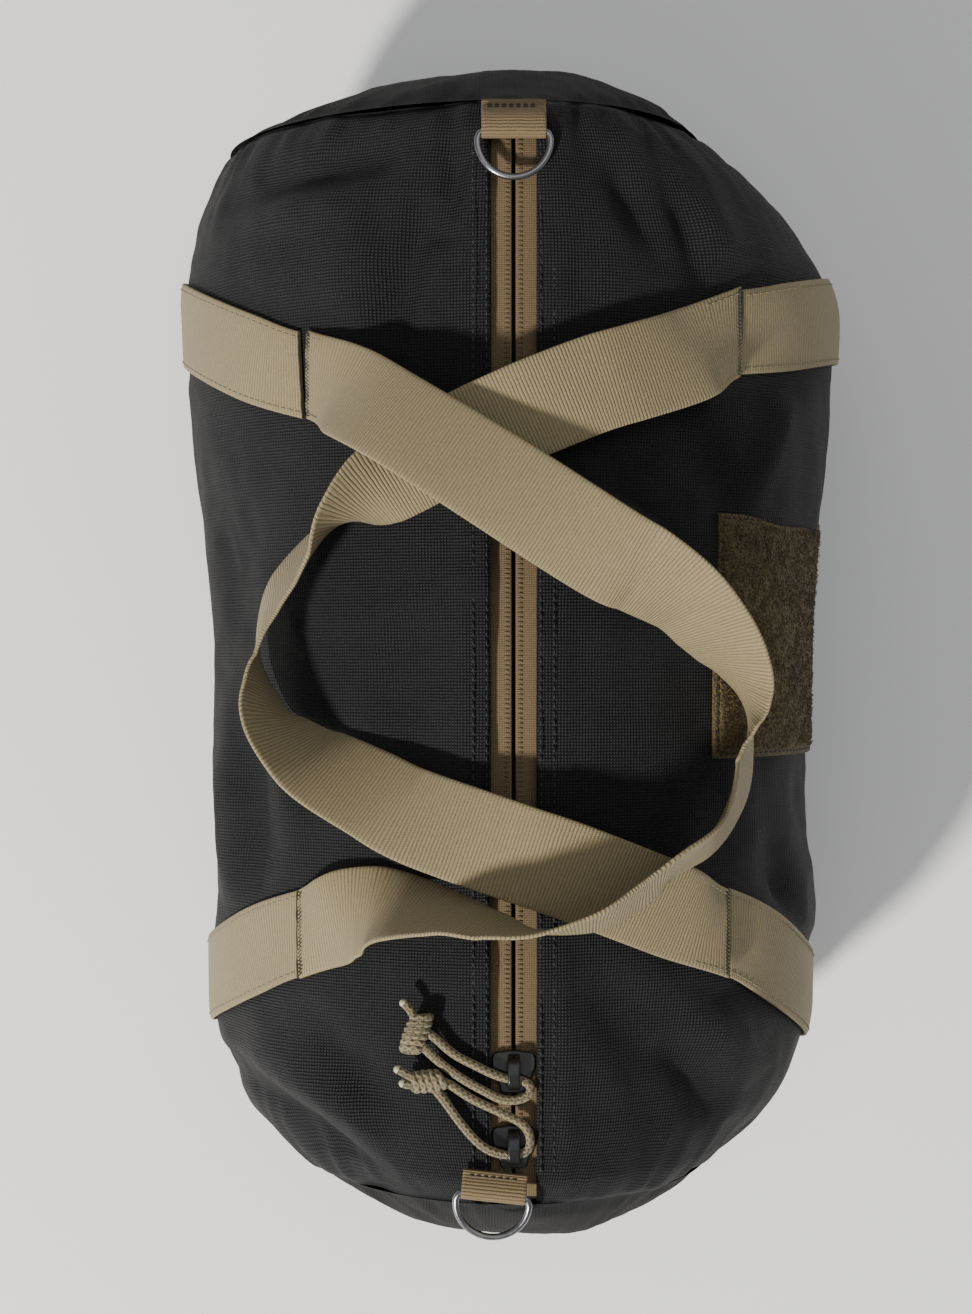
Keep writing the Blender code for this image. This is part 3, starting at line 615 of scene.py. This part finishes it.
CREASES = [   # start x, y and end x, y from above, half width and depth, in millimetres
    (-33, 190, -52, 118, 8.0, -3.2), (-62, 186, -68, 130, 11.0, 1.8),
    (-21, 212, -28, 168, 5.0, -2.2), (-112, 190, -40, 204, 8.0, -2.6),
    (-118, 176, -60, 186, 9.0, 2.0), (32, 206, 58, 158, 8.0, -2.2),
    (70, 196, 92, 150, 9.0, 1.8), (64, 190, 80, 136, 7.0, -1.8),
    (-120, -176, -52, -208, 8.0, -4.2), (-100, -164, -40, -198, 9.0, 2.2),
    (-84, -146, -46, -178, 8.0, -1.8), (-110, -10, -103, -112, 7.0, -2.8),
    (-96, 10, -92, -90, 9.0, 1.4), (-123, -30, -117, -122, 7.0, 2.0),
    (110, -80, 117, -150, 7.0, -2.6), (121, -74, 127, -140, 7.0, 2.0),
    (56, -146, 90, -196, 10.0, -2.6), (32, -118, 52, -172, 9.0, -1.4),
    (76, -136, 108, -176, 9.0, 1.8), (98, 64, 115, 112, 9.0, 2.0),
    (-120, 64, -112, 0, 9.0, -2.0), (40, 76, 56, 6, 11.0, -1.3),
    (70, 100, 94, 52, 9.0, -1.5), (-46, 26, -38, -46, 11.0, -1.2),
]


def crease_relief(points):
    total = np.zeros(len(points))
    wander = 0.004 * fractal(points, 30.0, 2)
    seen = points[:, 2] > 0.10
    for *ends, width, depth in CREASES:
        a, b = np.reshape(ends, (2, 2)) * MM
        line = b - a
        t = np.clip(((points[:, :2] - a) @ line) / (line @ line), 0, 1)
        away = np.linalg.norm(points[:, :2] - a - t[:, None] * line, axis=1) + wander
        fade = np.sin(np.pi * np.clip(t, 0.08, 0.92)) ** 0.7
        total += 2.4 * depth * MM * fade * np.exp(-((away / (width * MM)) ** 2)) * seen
    return total


def seam_pucker(g, away):
    """Small gathers running into an end seam."""
    turn = g * 2 * np.pi
    ripple = np.sin(turn * 21 + 1.3 * np.sin(g * 17)) + 0.5 * np.sin(turn * 34 + 2)
    return ripple * 0.9 * MM * np.exp(-away / 0.018) * ramp(away, 0, 0.006)


def zipper_relief(x, y, top):
    """The hem beside the tape, its two sunk rows of stitching and the pucker between them."""
    lift = 0.9 * MM * (1 - ramp(x, 0.0205, 0.0250)) * top
    lift -= 0.7 * MM * (1 - ramp(x, TAPE_EDGE, TAPE_EDGE + 0.0012)) * top
    for row in TOPSTITCH_ROWS:
        lift -= 0.28 * MM * np.exp(-(((x - row) / 0.0009) ** 2)) * top
    pucker = np.sin(y * 2 * np.pi / 0.031 + 2 * np.sin(y * 40))
    return lift + 0.35 * MM * pucker * np.exp(-(((x - 0.013) / 0.006) ** 2)) * top


def held_down(lift, flat, top):
    """Slack pressed flat under the bands, the handles and the pull cords."""
    for route in BANDS.values():
        path = smooth_path(route, 40)
        near = distance_to(flat, section(path[:, 0], path[:, 1])[::2])
        held = 1 - ramp(near, 0.018, 0.030)
        lift = lift * (1 - held) + (-0.1 * MM) * held
    for route in HANDLES.values():
        line = smooth_path([(x * MM, y * MM, z * MM) for x, y, z, _ in route], 5)
        lift = np.where(lift > 0, lift * ramp(distance_to(flat, line), 0.020, 0.036), lift)
    x, y, _ = flat.T
    cords = ramp(x, -0.062, -0.046) * (1 - ramp(x, 0.012, 0.022))
    cords = cords * (1 - ramp(y, -0.142, -0.126)) * top
    return np.where(lift > 0, lift * (1 - cords), lift * (1 - 0.6 * cords))


def rolled_edges(points):
    """The cloth with its edges beside the zipper turned under, three more columns on each."""
    edges = []
    for side in (0, -1):
        turned = [points[:, side]]
        outside = np.sign(turned[0][:, :1])
        for back, down in ((0, 0.9), (0.5, 1.0), (5, 0.4)):
            step = [outside * back * MM, 0 * outside, np.full_like(outside, -down * MM)]
            turned.append(turned[-1] + np.hstack(step))
        edges.append(np.stack(turned[1:], axis=1))
    return np.concatenate([edges[0][:, ::-1], points, edges[1]], axis=1)


def add_body():
    rows = np.concatenate([
        np.linspace(FOOT_SEAM, -0.200, 26)[:-1], np.linspace(-0.200, 0.203, 250)[:-1],
        np.linspace(0.203, HEAD_SEAM, 26),
    ])
    edge = girth_at(TAPE_EDGE, rows)[:, None]
    g = edge + (2 - 2 * edge) * np.linspace(0, 1, 331)[None, :]
    y = np.broadcast_to(rows[:, None], g.shape)
    flat = section(g, y).reshape(-1, 3)
    top = flat[:, 2] > 0.15
    away = np.minimum(y.ravel() - FOOT_SEAM, HEAD_SEAM - y.ravel())
    lift = zipper_relief(np.abs(flat[:, 0]), flat[:, 1], top)
    stretched = flat * np.array([1.0, 0.42, 1.0])
    calm = ramp(flat[:, 2], 0.0, 0.02)
    lift += 3.0 * MM * fractal(stretched, 15.0) * calm
    lift += 0.9 * MM * fractal(flat + 5.0, 48.0, 2) * calm
    lift += crease_relief(flat) + seam_pucker(g.ravel(), away)
    lift -= 1.3 * MM * np.exp(-((away / 0.0018) ** 2))
    lift = held_down(np.clip(lift, -8 * MM, 7 * MM), flat, top)
    points = flat + lift[:, None] * outward(g, y).reshape(-1, 3)
    points[:, 2] = np.maximum(points[:, 2], 1.2 * MM)
    points = rolled_edges(points.reshape(*g.shape, 3))
    shares = np.linspace(0, 2, 400)
    across = np.interp(g, shares, arc(section(shares, np.zeros(400))))
    turned_under = np.array([0.001, 0.002, 0.007])
    across = np.hstack([across[:, :1] - turned_under[::-1], across, across[:, -1:] + turned_under])
    uv = np.stack([across, np.broadcast_to(rows[:, None], across.shape)], axis=-1)
    body = grid("body_cloth", points, FABRIC, uv)
    declare(body, "bag", "body_panel")
    lines = []
    ys = np.linspace(-0.203, 0.206, 300)
    for offset in TOPSTITCH_ROWS:
        left = girth_at(offset, ys)
        for girths in (left, 2 - left):
            lines.append((surface(girths, ys, 0.72 * MM), outward(girths, ys)))
    stitches("zipper_topstitch", lines, THREAD, "bag", length=2.6, gap=0.9, radius=0.34)


def add_end(label, seam, side):
    """A domed end panel with gathers at its seam and slack in its middle."""
    around, rings = 240, 46
    turns = np.linspace(0, 2, around, endpoint=False)
    middle = np.array([0, seam, END_MIDDLE])
    rim = section(turns, np.full(around, seam))
    share = 1 - np.linspace(0, 1, rings) ** 1.15
    share[-1] = 0.004
    inward = (1 - share) * END_RADIUS
    points = middle + share[:, None, None] * (rim[None] - middle)
    rise = 0.3 * MM + (DOME - 0.3 * MM) * (1 - share**2)
    rise = rise - 0.3 * MM * np.exp(-((inward / 0.0018) ** 2))
    points[..., 1] += side * np.maximum(rise, 0.1 * MM)[:, None]
    flat = points.reshape(-1, 3)
    slack = 4.0 * MM * fractal(flat + 2.0, 13.0) + 1.0 * MM * fractal(flat + 9.0, 42.0, 2)
    away = np.repeat(inward, around)
    lift = slack * ramp(away, 0, 0.01) + seam_pucker(np.tile(turns, rings), away)
    flat[:, 1] += side * lift
    points = flat.reshape(rings, around, 3)
    # The end panels take the darker copy of the black weave, which is painted shade.
    panel = grid(
        f"end_cloth_{label}", points, END_FABRIC_SHADED, points[..., [0, 2]],
        wrap_columns=True, flip=side < 0)
    declare(panel, "bag", "end_panel_" + label)


# Zipper

TAPE_PROFILE = [   # across and up from the tape's level, in millimetres
    (0.75, -0.8), (0.75, 0.1), (1.2, 0.42), (2.4, 0.5), (3.6, 0.3), (5.0, 0.28), (9.0, 0.3),
    (12.8, 0.2), (12.8, -0.6),
]
COIL_STITCH = np.array([   # across, up and radius, in millimetres
    (1.5, 0.1, 0.2), (1.9, 0.45, 0.36), (2.6, 0.55, 0.4), (3.3, 0.45, 0.36), (3.7, 0.1, 0.2),
]).T


def add_zipper():
    for label, sign in (("left", -1), ("right", 1)):
        low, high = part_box("zipper_tape_" + label)
        ys = np.linspace(low[1] + 0.0002, high[1] - 0.0002, 240)
        levels = between(ys)[1] - TAPE_DROP
        points = np.array([
            [(sign * x * MM, y, z + t * MM) for x, t in TAPE_PROFILE] for y, z in zip(ys, levels)
        ])
        uv = np.array([[(y, x * MM) for x, _ in TAPE_PROFILE] for y in ys])
        tape = grid(f"tape_cloth_{label}", points, TAPE, uv, flip=sign < 0)
        declare(tape, "bag", "zipper_tape_" + label)
        bumps = []
        across, up, radii = COIL_STITCH
        for y in np.arange(low[1] + 0.012, high[1] - 0.012, COIL_PITCH):
            level = crown_at(y) - TAPE_DROP
            line = np.stack([across * sign * MM, np.full(5, y), level + up * MM], 1)
            bumps.append((line, radii * MM))
        row = tubes(f"coil_stitches_{label}", bumps, COIL, sides=7)
        declare(row, "bag")
        turns = []
        low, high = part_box("zipper_coil_" + label)
        a = np.linspace(0, 2 * np.pi, 9)[:-1]
        x = (low[0] + high[0]) / 2 + np.cos(a) * (high[0] - low[0] - 0.0009) / 2
        z = (low[2] + high[2]) / 2 + np.sin(a) * 0.00068
        for y in np.arange(low[1] + 0.001, high[1] - 0.001, COIL_PITCH):
            turns.append((np.stack([x, y + 0.0004 * np.sin(a), z], 1), 0.0004))
        spiral = tubes(f"coil_turns_{label}", turns, COIL, sides=5, closed=True)
        declare(spiral, "bag", "zipper_coil_" + label)
    # A dark sheet under the chain, so that no light comes up between the tapes: painted shade
    # standing in for the bag's dark inside
    well = np.array([[(x * MM, y, 0.2168) for x in (-14, 14)] for y in (-0.214, 0.218)])
    floor = grid("shade_sheet_under_zipper", well, LINING_AND_SHADE, well[..., :2])
    declare(floor, "bag")


def bevelled(obj, width, segments=3):
    rounding = obj.modifiers.new("bevel", "BEVEL")
    rounding.width = width
    rounding.segments = segments
    rounding.limit_method = "ANGLE"
    rounding.angle_limit = math.radians(30)
    obj.data.set_sharp_from_angle(angle=math.radians(50))


def prism(name, outline, low, high, finish, axis=2):
    """An outline extruded between two values of one axis."""
    count = len(outline)
    vertices = []
    for value in (low, high):
        for a, b in outline:
            point = [a, b]
            point.insert(axis, value)
            vertices.append(point)
    sides = [(i, (i + 1) % count, (i + 1) % count + count, i + count) for i in range(count)]
    faces = [tuple(range(count))[::-1], tuple(range(count, 2 * count)), *sides]
    return new_object(name, vertices, faces, finish, np.zeros((2 * count, 2)))


# Slider outlines in millimetres: right halves (x, y) from above, and (y, z) for the arch
PLATE_HALF = [
    (0.0, 8.4), (1.6, 8.5), (3.0, 8.2), (4.6, 7.9), (6.4, 7.9), (7.8, 7.2), (8.6, 5.6),
    (8.6, 2.4), (8.1, 0.6), (6.6, -3.0), (5.7, -5.2), (5.4, -7.4), (4.6, -8.4), (0.0, -8.5),
]
BOSS_HALF = [(0.0, 6.9), (1.9, 6.4), (2.9, 3.2), (2.9, -5.8), (0.0, -6.9)]
ARCH = [
    (-7.0, 223.2), (-6.9, 225.2), (-6.0, 227.8), (-4.4, 229.1), (-2.4, 229.5),
    (2.4, 229.5), (4.4, 229.1), (6.0, 227.8), (6.9, 225.2), (7.0, 223.2),
    (5.2, 223.2), (5.0, 225.2), (4.4, 226.9), (3.2, 227.8), (1.6, 228.0),
    (-1.6, 228.0), (-3.2, 227.8), (-4.4, 226.9), (-5.0, 225.2), (-5.2, 223.2),
]
ARCH_TOP = 0.2296   # the CAD bridge's top that ARCH is drawn to


def mirrored(half, y):
    """A whole outline round (0, y) in metres from its right half in millimetres."""
    right = [(px * MM, y + py * MM) for px, py in half]
    return right + [(-px, py) for px, py in reversed(right[1:-1])]


def add_slider(label):
    """Top plate, plate under the chain, neck between them, bridge and the boss it stands on."""
    name = "slider_" + label
    low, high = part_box(name)
    y = (low[1] + high[1]) / 2
    outline = mirrored(PLATE_HALF, y)
    neck_outline = [(-0.0004, y), (0.0004, y), (0.0004, y + 0.006), (-0.0004, y + 0.006)]
    arch = [(y + py * MM, pz * MM + (high[2] - ARCH_TOP)) for py, pz in ARCH]
    plate = prism(f"slider_plate_{label}", outline, 0.2215, 0.2235, METAL)
    under = prism(f"slider_under_{label}", outline, 0.2159, 0.2174, METAL)
    neck = prism(f"slider_neck_{label}", neck_outline, 0.2170, 0.2220, METAL)
    bridge = prism(f"slider_bridge_{label}", arch, -0.0024, 0.0024, METAL, axis=0)
    boss = prism(f"slider_boss_{label}", mirrored(BOSS_HALF, y), 0.2233, 0.2238, METAL)
    bevelled(plate, 0.0006)
    bevelled(under, 0.0005)
    bevelled(bridge, 0.0006)
    bevelled(boss, 0.0002, 2)
    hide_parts("slider_" + label)
    for piece in (plate, under, neck, bridge, boss):
        declare(piece, name)


# Webbing

PROFILE = np.array([   # webbing's section: shares of half the width and of half the thickness
    (1.0, 0.0), (0.992, 0.55), (0.972, 0.9), (0.9, 1.0), (0.7, 1.0), (0.45, 1.0),
    (0.2, 1.0), (0.0, 1.0), (-0.2, 1.0), (-0.45, 1.0), (-0.7, 1.0), (-0.9, 1.0),
    (-0.972, 0.9), (-0.992, 0.55), (-1.0, 0.0), (-0.992, -0.55), (-0.972, -0.9), (-0.9, -1.0),
    (-0.45, -1.0), (0.0, -1.0), (0.45, -1.0), (0.9, -1.0), (0.972, -0.9), (0.992, -0.55),
])


def ribbon(name, middles, reaches, normals, thickness, finish, raised=None, cup=0.0):
    """Webbing with soft edges. raised adds height over the webbing at each (row, share)."""
    share, level = PROFILE[:, 0], PROFILE[:, 1]
    height = level[None, :] * thickness / 2 + cup * (1 - share[None, :] ** 2)
    if raised is not None:
        height = height + raised(share)
    points = (
        middles[:, None] + share[None, :, None] * reaches[:, None]
        + height[..., None] * normals[:, None]
    )
    width = np.linalg.norm(reaches, axis=1).mean()
    uv = chart(arc(middles), share * width)
    web = grid(name, points, finish, uv, wrap_columns=True)
    close_ends(web, len(middles))
    return web


def close_ends(web, rows):
    """Faces over a ribbon's two cut ends."""
    columns = len(PROFILE)
    caps = [range(columns), [(rows - 1) * columns + i for i in range(columns)][::-1]]
    mesh = bmesh.new()
    mesh.from_mesh(web.data)
    mesh.verts.ensure_lookup_table()
    for cap in caps:
        mesh.faces.new([mesh.verts[i] for i in cap])
    bmesh.ops.recalc_face_normals(mesh, faces=mesh.faces)
    mesh.to_mesh(web.data)
    mesh.free()


def gathers(share, from_end, height, reach):
    """Lengthwise ripples that die away from a sewn end."""
    return np.sin(share[None, :] * 17 + 0.4) * height * np.exp(-from_end / reach)[:, None]


def handle_stations(route, is_left):
    """A handle's middle line, half widths, normals, direction and distance from its ends."""
    path = smooth_path([(x * MM, y * MM, z * MM, math.radians(r)) for x, y, z, r in route], 14)
    path = resample(path, 0.0022)
    middles, rolls = path[:, :3], path[:, 3]
    ahead = unit(np.gradient(middles, axis=0))
    across = unit(np.stack([-ahead[:, 1], ahead[:, 0], 0 * ahead[:, 0]], 1))
    if not is_left:
        across = -across
    up = np.cross(ahead, across)
    up *= np.sign(up[:, 2:3])
    free = 0.5 * WEB * (np.cos(rolls)[:, None] * across + np.sin(rolls)[:, None] * up)
    cut = np.zeros_like(middles)
    cut[:, 1] = np.sign(across[:, 1])
    square = cut - np.sum(cut * ahead, axis=1, keepdims=True) * ahead
    apart = np.linalg.norm(square, axis=1, keepdims=True)
    sewn = 0.5 * WEB_SEWN / np.maximum(apart, 0.3) * cut
    s = arc(middles)
    from_end = np.minimum(s, s[-1] - s)
    ease = ramp(from_end, 0, SHEAR_REACH)[:, None]
    reaches = ease * free + (1 - ease) * sewn
    return middles, reaches, unit(np.cross(ahead, reaches)), ahead, from_end


def add_handle(name):
    """A handle's webbing with its edge stitching, and a bartack at each sewn end."""
    middles, reaches, normals, ahead, from_end = handle_stations(
        HANDLES[name], name == "handle_left")
    facing = np.sign(normals[0, 2])
    s = arc(middles)

    def raised(share):
        drift = 0.25 * MM * np.sin(s / 0.021)[:, None] * share[None, :]
        return gathers(share, from_end, 0.28 * MM, 0.016) + drift

    web = ribbon(
        f"{name}_webbing", middles, reaches, normals, WEB_THICK, HANDLE_WEB, raised,
        cup=0.35 * MM * facing)
    declare(web, None, name)
    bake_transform(web)
    lines = []
    top = facing * (WEB_THICK / 2 + 0.15 * MM)
    for end in (slice(0, 9), slice(-9, None)):
        for edge in (-EDGE_STITCH, EDGE_STITCH):
            row = middles[end] + edge * reaches[end] + top * normals[end]
            lines.append((row, facing * normals[end]))
    thread = stitches(
        f"{name}_edge_stitch", lines, TAN_THREAD, None, length=2.4, gap=0.9, radius=0.3)
    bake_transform(thread)
    width = np.linspace(-0.94, 0.94, 45)[:, None]
    zigzag = np.where(np.arange(45) % 2 == 0, 0.3, 2.6)[:, None] * MM
    top = facing * (WEB_THICK / 2 + 0.3 * MM)
    for label, end, step in (("head", 0, 1), ("foot", -1, -1)):
        forward = unit(middles[end + 2 * step] - middles[end])
        base = middles[end] + width * reaches[end]
        points = base + zigzag * forward + top * normals[end]
        tack = tubes(f"{name}_tack_{label}", [(points, 0.32 * MM)], THREAD, sides=6)
        declare(tack, "bag")


def add_band(name):
    """The sewn part of the webbing, round the barrel and under its base."""
    path = resample(smooth_path(BANDS[name], 40), 0.0032)
    g, y = path[:, 0], path[:, 1]
    middles = section(g, y)
    s = arc(middles)
    from_end = np.minimum(s, s[-1] - s)
    ease = ramp(from_end, 0, SHEAR_REACH)
    per_girth = (section(g + 1e-3, y) - section(g - 1e-3, y)) / 2e-3
    size = np.linalg.norm(per_girth, axis=1)
    ahead = unit(np.gradient(middles, axis=0))
    slant = np.arctan2(ahead[:, 1], np.sum(ahead * per_girth / size[:, None], axis=1))
    width = WEB_SEWN + (WEB - WEB_SEWN) * ease * 0.5
    reach = 0.5 * width / np.maximum(np.cos(slant * (1 - ease)), 0.7)
    turn = slant * ease
    g_shift, y_shift = -np.sin(turn) * reach / size, np.cos(turn) * reach
    share, level = PROFILE[:, 0], PROFILE[:, 1]
    lift = WEB_LIFT + WEB_THICK * (0.5 + 0.5 * level)[None, :]
    lift = lift + gathers(share, from_end, 0.22 * MM, 0.02) * (level > 0)
    at_g = g[:, None] + share * g_shift[:, None]
    at_y = y[:, None] + share * y_shift[:, None]
    uv = chart(s, share * WEB / 2)
    web = grid(f"{name}_webbing", surface(at_g, at_y, lift), HANDLE_WEB, uv, wrap_columns=True)
    close_ends(web, len(g))
    declare(web, "bag", name)
    lines = []
    for edge in (-EDGE_STITCH, EDGE_STITCH):
        row_g, row_y = g + edge * g_shift, y + edge * y_shift
        row = surface(row_g, row_y, WEB_LIFT + WEB_THICK)
        lines.append((row, outward(row_g, row_y)))
    stitches(f"{name}_edge_stitch", lines, TAN_THREAD, "bag", length=2.8, gap=1.0, radius=0.3)


# D-rings

RING_HALF, RING_LEG, RING_CORNER, RING_WIRE = 14.4, 3.5, 3.0, 1.35   # millimetres
LOOP_HALF, LOOP_THICK, LOOP_BEND = 0.0127, 0.0012, 0.0023
LOOP_SHARES = (0.2, 0.4, 0.6, 0.8, 1.0)
LOOPS = {   # how far each D-ring's webbing reaches, and its stitch rows from its end in mm
    "head": (0.0138, (3.0, 5.6)),
    "foot": (0.0084, (2.6,)),
}


def ring_bar(label):
    """The middle of a D-ring's straight bar, and the direction along it."""
    joint = JOINTS[f"dring_{label}_swing"]
    return np.array(joint["pos_m"], float), unit(-np.array(joint["axis"], float))


def add_ring(label):
    node = "dring_" + label
    bar, across = ring_bar(label)
    droop = math.radians(12 if label == "foot" else 0)
    level = np.cross((0, 0, 1.0), across)
    out = -level * math.cos(droop) - np.array([0, 0, math.sin(droop)])
    half, corner = RING_HALF, RING_CORNER
    right = [(half - corner, 0), (half - 0.9, 0.9), (half, corner)]
    bow = [
        (half * math.cos(a), RING_LEG + half * math.sin(a)) for a in np.linspace(0, math.pi, 25)
    ]
    left = [(-a, b) for a, b in reversed(right)]
    shape = [left[-1], (0, 0), *right, *bow, *left[:-1]]
    points = np.array([bar + (a * across + b * out) * MM for a, b in shape])
    loop = resample(np.vstack([points, points[:1]]), 0.0012)[:-1]
    ring = tubes(f"{node}_wire", [(loop, RING_WIRE * MM)], STEEL, sides=16, closed=True)
    declare(ring, node, node)


def add_ring_webbing(label):
    """Webbing folded round the ring's bar, both layers sewn down beside the zipper's end."""
    bar, across = ring_bar(label)
    inward = np.cross((0, 0, 1.0), across)
    reach, rows = LOOPS[label]

    def resting(share):
        """Height of the lower layer: sloping down from the bar, or lying on the cloth."""
        slope = bar[2] - LOOP_BEND - 8 * MM * share
        return max(crown_at(bar[1] + reach * share) + 1.1 * MM, slope)

    profile = [(reach * share, resting(share)) for share in reversed(LOOP_SHARES)]
    for a in np.radians(np.linspace(-90, -270, 13)):
        profile.append((math.cos(a) * LOOP_BEND, bar[2] + math.sin(a) * LOOP_BEND))
    for share in LOOP_SHARES:
        above = resting(share) + 1.6 * MM
        blend = max(0.0, 1 - (share / 0.75) ** 2)
        profile.append((reach * share, above + blend * (bar[2] + LOOP_BEND - above)))
    foot = np.array([bar[0], bar[1], 0])
    points = np.array([foot + out * inward + np.array([0, 0, z]) for out, z in profile])
    points = resample(smooth_path(points, 4), 0.0011)
    ahead = unit(np.gradient(points, axis=0))
    reaches = np.repeat(LOOP_HALF * across[None], len(points), axis=0)
    normals = unit(np.cross(ahead, reaches))
    web = ribbon(f"dring_loop_{label}", points, reaches, normals, LOOP_THICK, RING_WEB)
    declare(web, "bag", "dring_web_" + label)
    lines = []
    s = arc(points)
    width = np.linspace(-0.88, 0.88, 30)[:, None]
    for back in rows:
        near = np.argmin(np.abs(s - (s[-1] - back * MM)))
        side = normals[near] if normals[near][2] > 0 else -normals[near]
        row = points[near] + width * reaches[near] + 0.65 * MM * side
        lines.append((row, np.repeat(side[None], 30, 0)))
    stitches(f"dring_stitch_{label}", lines, THREAD, "bag", length=2.0, gap=0.8, radius=0.32)


# Patch and tag

def rim_of(points):
    return np.concatenate([points[0], points[1:, -1], points[-1, -2::-1], points[-2:0:-1, 0]])


def skin_plate(name, girths, ys, lift, thick, finish, steps, relief=None):
    """A thin plate on the barrel's right side, rounded at its edges."""
    a = b = np.linspace(-1, 1, steps)
    g = 2 - (np.mean(girths) + a * (girths[1] - girths[0]) / 2)
    y = np.mean(ys) + b * (ys[1] - ys[0]) / 2
    at_g, at_y = np.meshgrid(g, y)
    edge = np.minimum(1 - np.abs(a)[None, :], 1 - np.abs(b)[:, None])
    top = lift + thick * ramp(edge, -0.002, 0.018)
    if relief is not None:
        top = top + relief(edge, at_g, at_y)
    points = surface(at_g, at_y, top)
    low = surface(at_g, at_y, lift - 0.4 * MM)
    uv = np.stack([at_g * GIRTH_LENGTH, at_y], -1)
    plate = grid(name, points, finish, uv)
    skirt = np.stack([rim_of(points), rim_of(low)])
    hem = grid(name + "_edge", skirt, finish, skirt[..., :2], wrap_columns=True)
    for piece in (plate, hem):
        declare(piece, "bag")
    return plate


def add_patch():
    """The loop patch with its curls and border stitching, and the side tag below it."""
    rng = np.random.default_rng(7)
    count, steps = 5200, 60
    (first_g, last_g), (first_y, last_y) = PATCH_GIRTH, PATCH_Y

    def pile_height(edge, g, y):
        spots = np.stack([g * GIRTH_LENGTH * 3, y * 3, 0 * y], -1).reshape(-1, 3)
        lumps = fractal(spots, 60.0, 3).reshape(edge.shape)
        return ramp(edge, 0.05, 0.085) * (0.9 * MM + 0.35 * MM * lumps)

    plate = skin_plate(
        "loop_patch_base", PATCH_GIRTH, PATCH_Y, 0.6 * MM, 1.0 * MM, PILE, 150, pile_height)
    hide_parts("loop_patch")
    at_g = 2 - rng.uniform(first_g + 0.008, last_g - 0.008, count)
    at_y = rng.uniform(first_y + 0.0035, last_y - 0.0035, count)
    angles = rng.uniform(0, 2 * np.pi, count)
    sizes = rng.uniform(0.5, 0.95, count) * MM
    roots, ups = surface(at_g, at_y, 2.0 * MM), outward(at_g, at_y)
    turn = np.linspace(-0.35, 1.15, 5)[:, None] * np.pi
    curls = []
    for root, up, angle, size in zip(roots, ups, angles, sizes):
        side = unit(np.cross(up, (math.cos(angle), math.sin(angle), 0.2)))
        loop = root + size * (np.cos(turn) * side + (0.45 + np.sin(turn)) * up)
        curls.append((loop, 0.14 * MM))
    fuzz = tubes("loop_patch_curls", curls, PILE, sides=3)
    declare(fuzz, "bag")
    low_g, high_g = first_g + 0.0045, last_g - 0.0045
    low_y, high_y = first_y + 0.0018, last_y - 0.0018
    lines = []
    for start, end in (
        ((low_g, low_y), (low_g, high_y)), ((high_g, low_y), (high_g, high_y)),
        ((low_g, low_y), (high_g, low_y)), ((low_g, high_y), (high_g, high_y)),
    ):
        g, y = (np.linspace(a, b, steps) for a, b in zip(start, end))
        lines.append((surface(2 - g, y, 1.65 * MM), outward(2 - g, y)))
    stitches("loop_patch_stitch", lines, THREAD, "bag", length=2.6, gap=0.9, radius=0.3)
    tag = skin_plate("side_tag_cloth", TAG_GIRTH, TAG_Y, 0.6 * MM, 0.9 * MM, TAG, 30)
    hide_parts("side_tag")


# Hidden inside: the bound seams keep their CAD shape

def dress_cad():
    for label in ("head", "foot"):
        node = frame["nodes"]["seam_binding_" + label]
        node.data.materials.clear()
        node.data.materials.append(LINING_AND_SHADE)


# Light and ground

def add_stage():
    bpy.ops.mesh.primitive_plane_add(size=40, location=(0, 0, -0.0005))
    ground = bpy.context.object
    ground.name = "ground"
    ground.data.materials.append(plain("paper", (0.92, 0.92, 0.92), 0.95))

    def area(name, place, size, power, colour):
        data = bpy.data.lights.new(name, "AREA")
        data.shape = "DISK"
        data.size = size
        data.energy = power
        data.color = colour
        light = bpy.data.objects.new(name, data)
        light.location = place
        light.rotation_euler = (-Vector(place)).to_track_quat("-Z", "Y").to_euler()
        bpy.context.scene.collection.objects.link(light)

    area("key", (-1.5, -1.7, 2.1), 0.3, 150, (1.0, 0.97, 0.92))
    area("fill", (1.6, 0.9, 2.2), 2.2, 9, (0.92, 0.96, 1.0))
    area("top", (0.0, 0.4, 3.2), 2.5, 14, (1.0, 1.0, 1.0))
    world = bpy.data.worlds.new("studio")
    world.use_nodes = True
    background = world.node_tree.nodes["Background"]
    background.inputs["Color"].default_value = (1.0, 1.0, 1.0, 1)
    background.inputs["Strength"].default_value = 0.3
    bpy.context.scene.world = world


add_camera()
add_pull("upper", (0.35, 1.0, 0.0), 6, 3.5 * MM, [
    [(-1.0, 7.0, 0.5), (-3.0, 10.0, 0.8), (-5.0, 12.0, 0.6)],
])
add_pull("lower", (1.0, 0.15, 0.0), 5, 3.1 * MM, [
    [(-5.0, 1.0, 0.2), (-8.5, 3.0, 0.4), (-11.5, 4.6, 0.2)],
    [(-5.0, -1.2, -0.4), (-7.5, -1.6, -0.4), (-9.5, -1.0, -0.6)],
])
add_body()
add_end("head", HEAD_SEAM, 1)
add_end("foot", FOOT_SEAM, -1)
add_zipper()
add_slider("upper")
add_slider("lower")
for band_name in BANDS:
    add_band(band_name)
for handle_name in HANDLES:
    add_handle(handle_name)
for end_label in ("head", "foot"):
    add_ring(end_label)
    add_ring_webbing(end_label)
add_patch()
dress_cad()
add_stage()
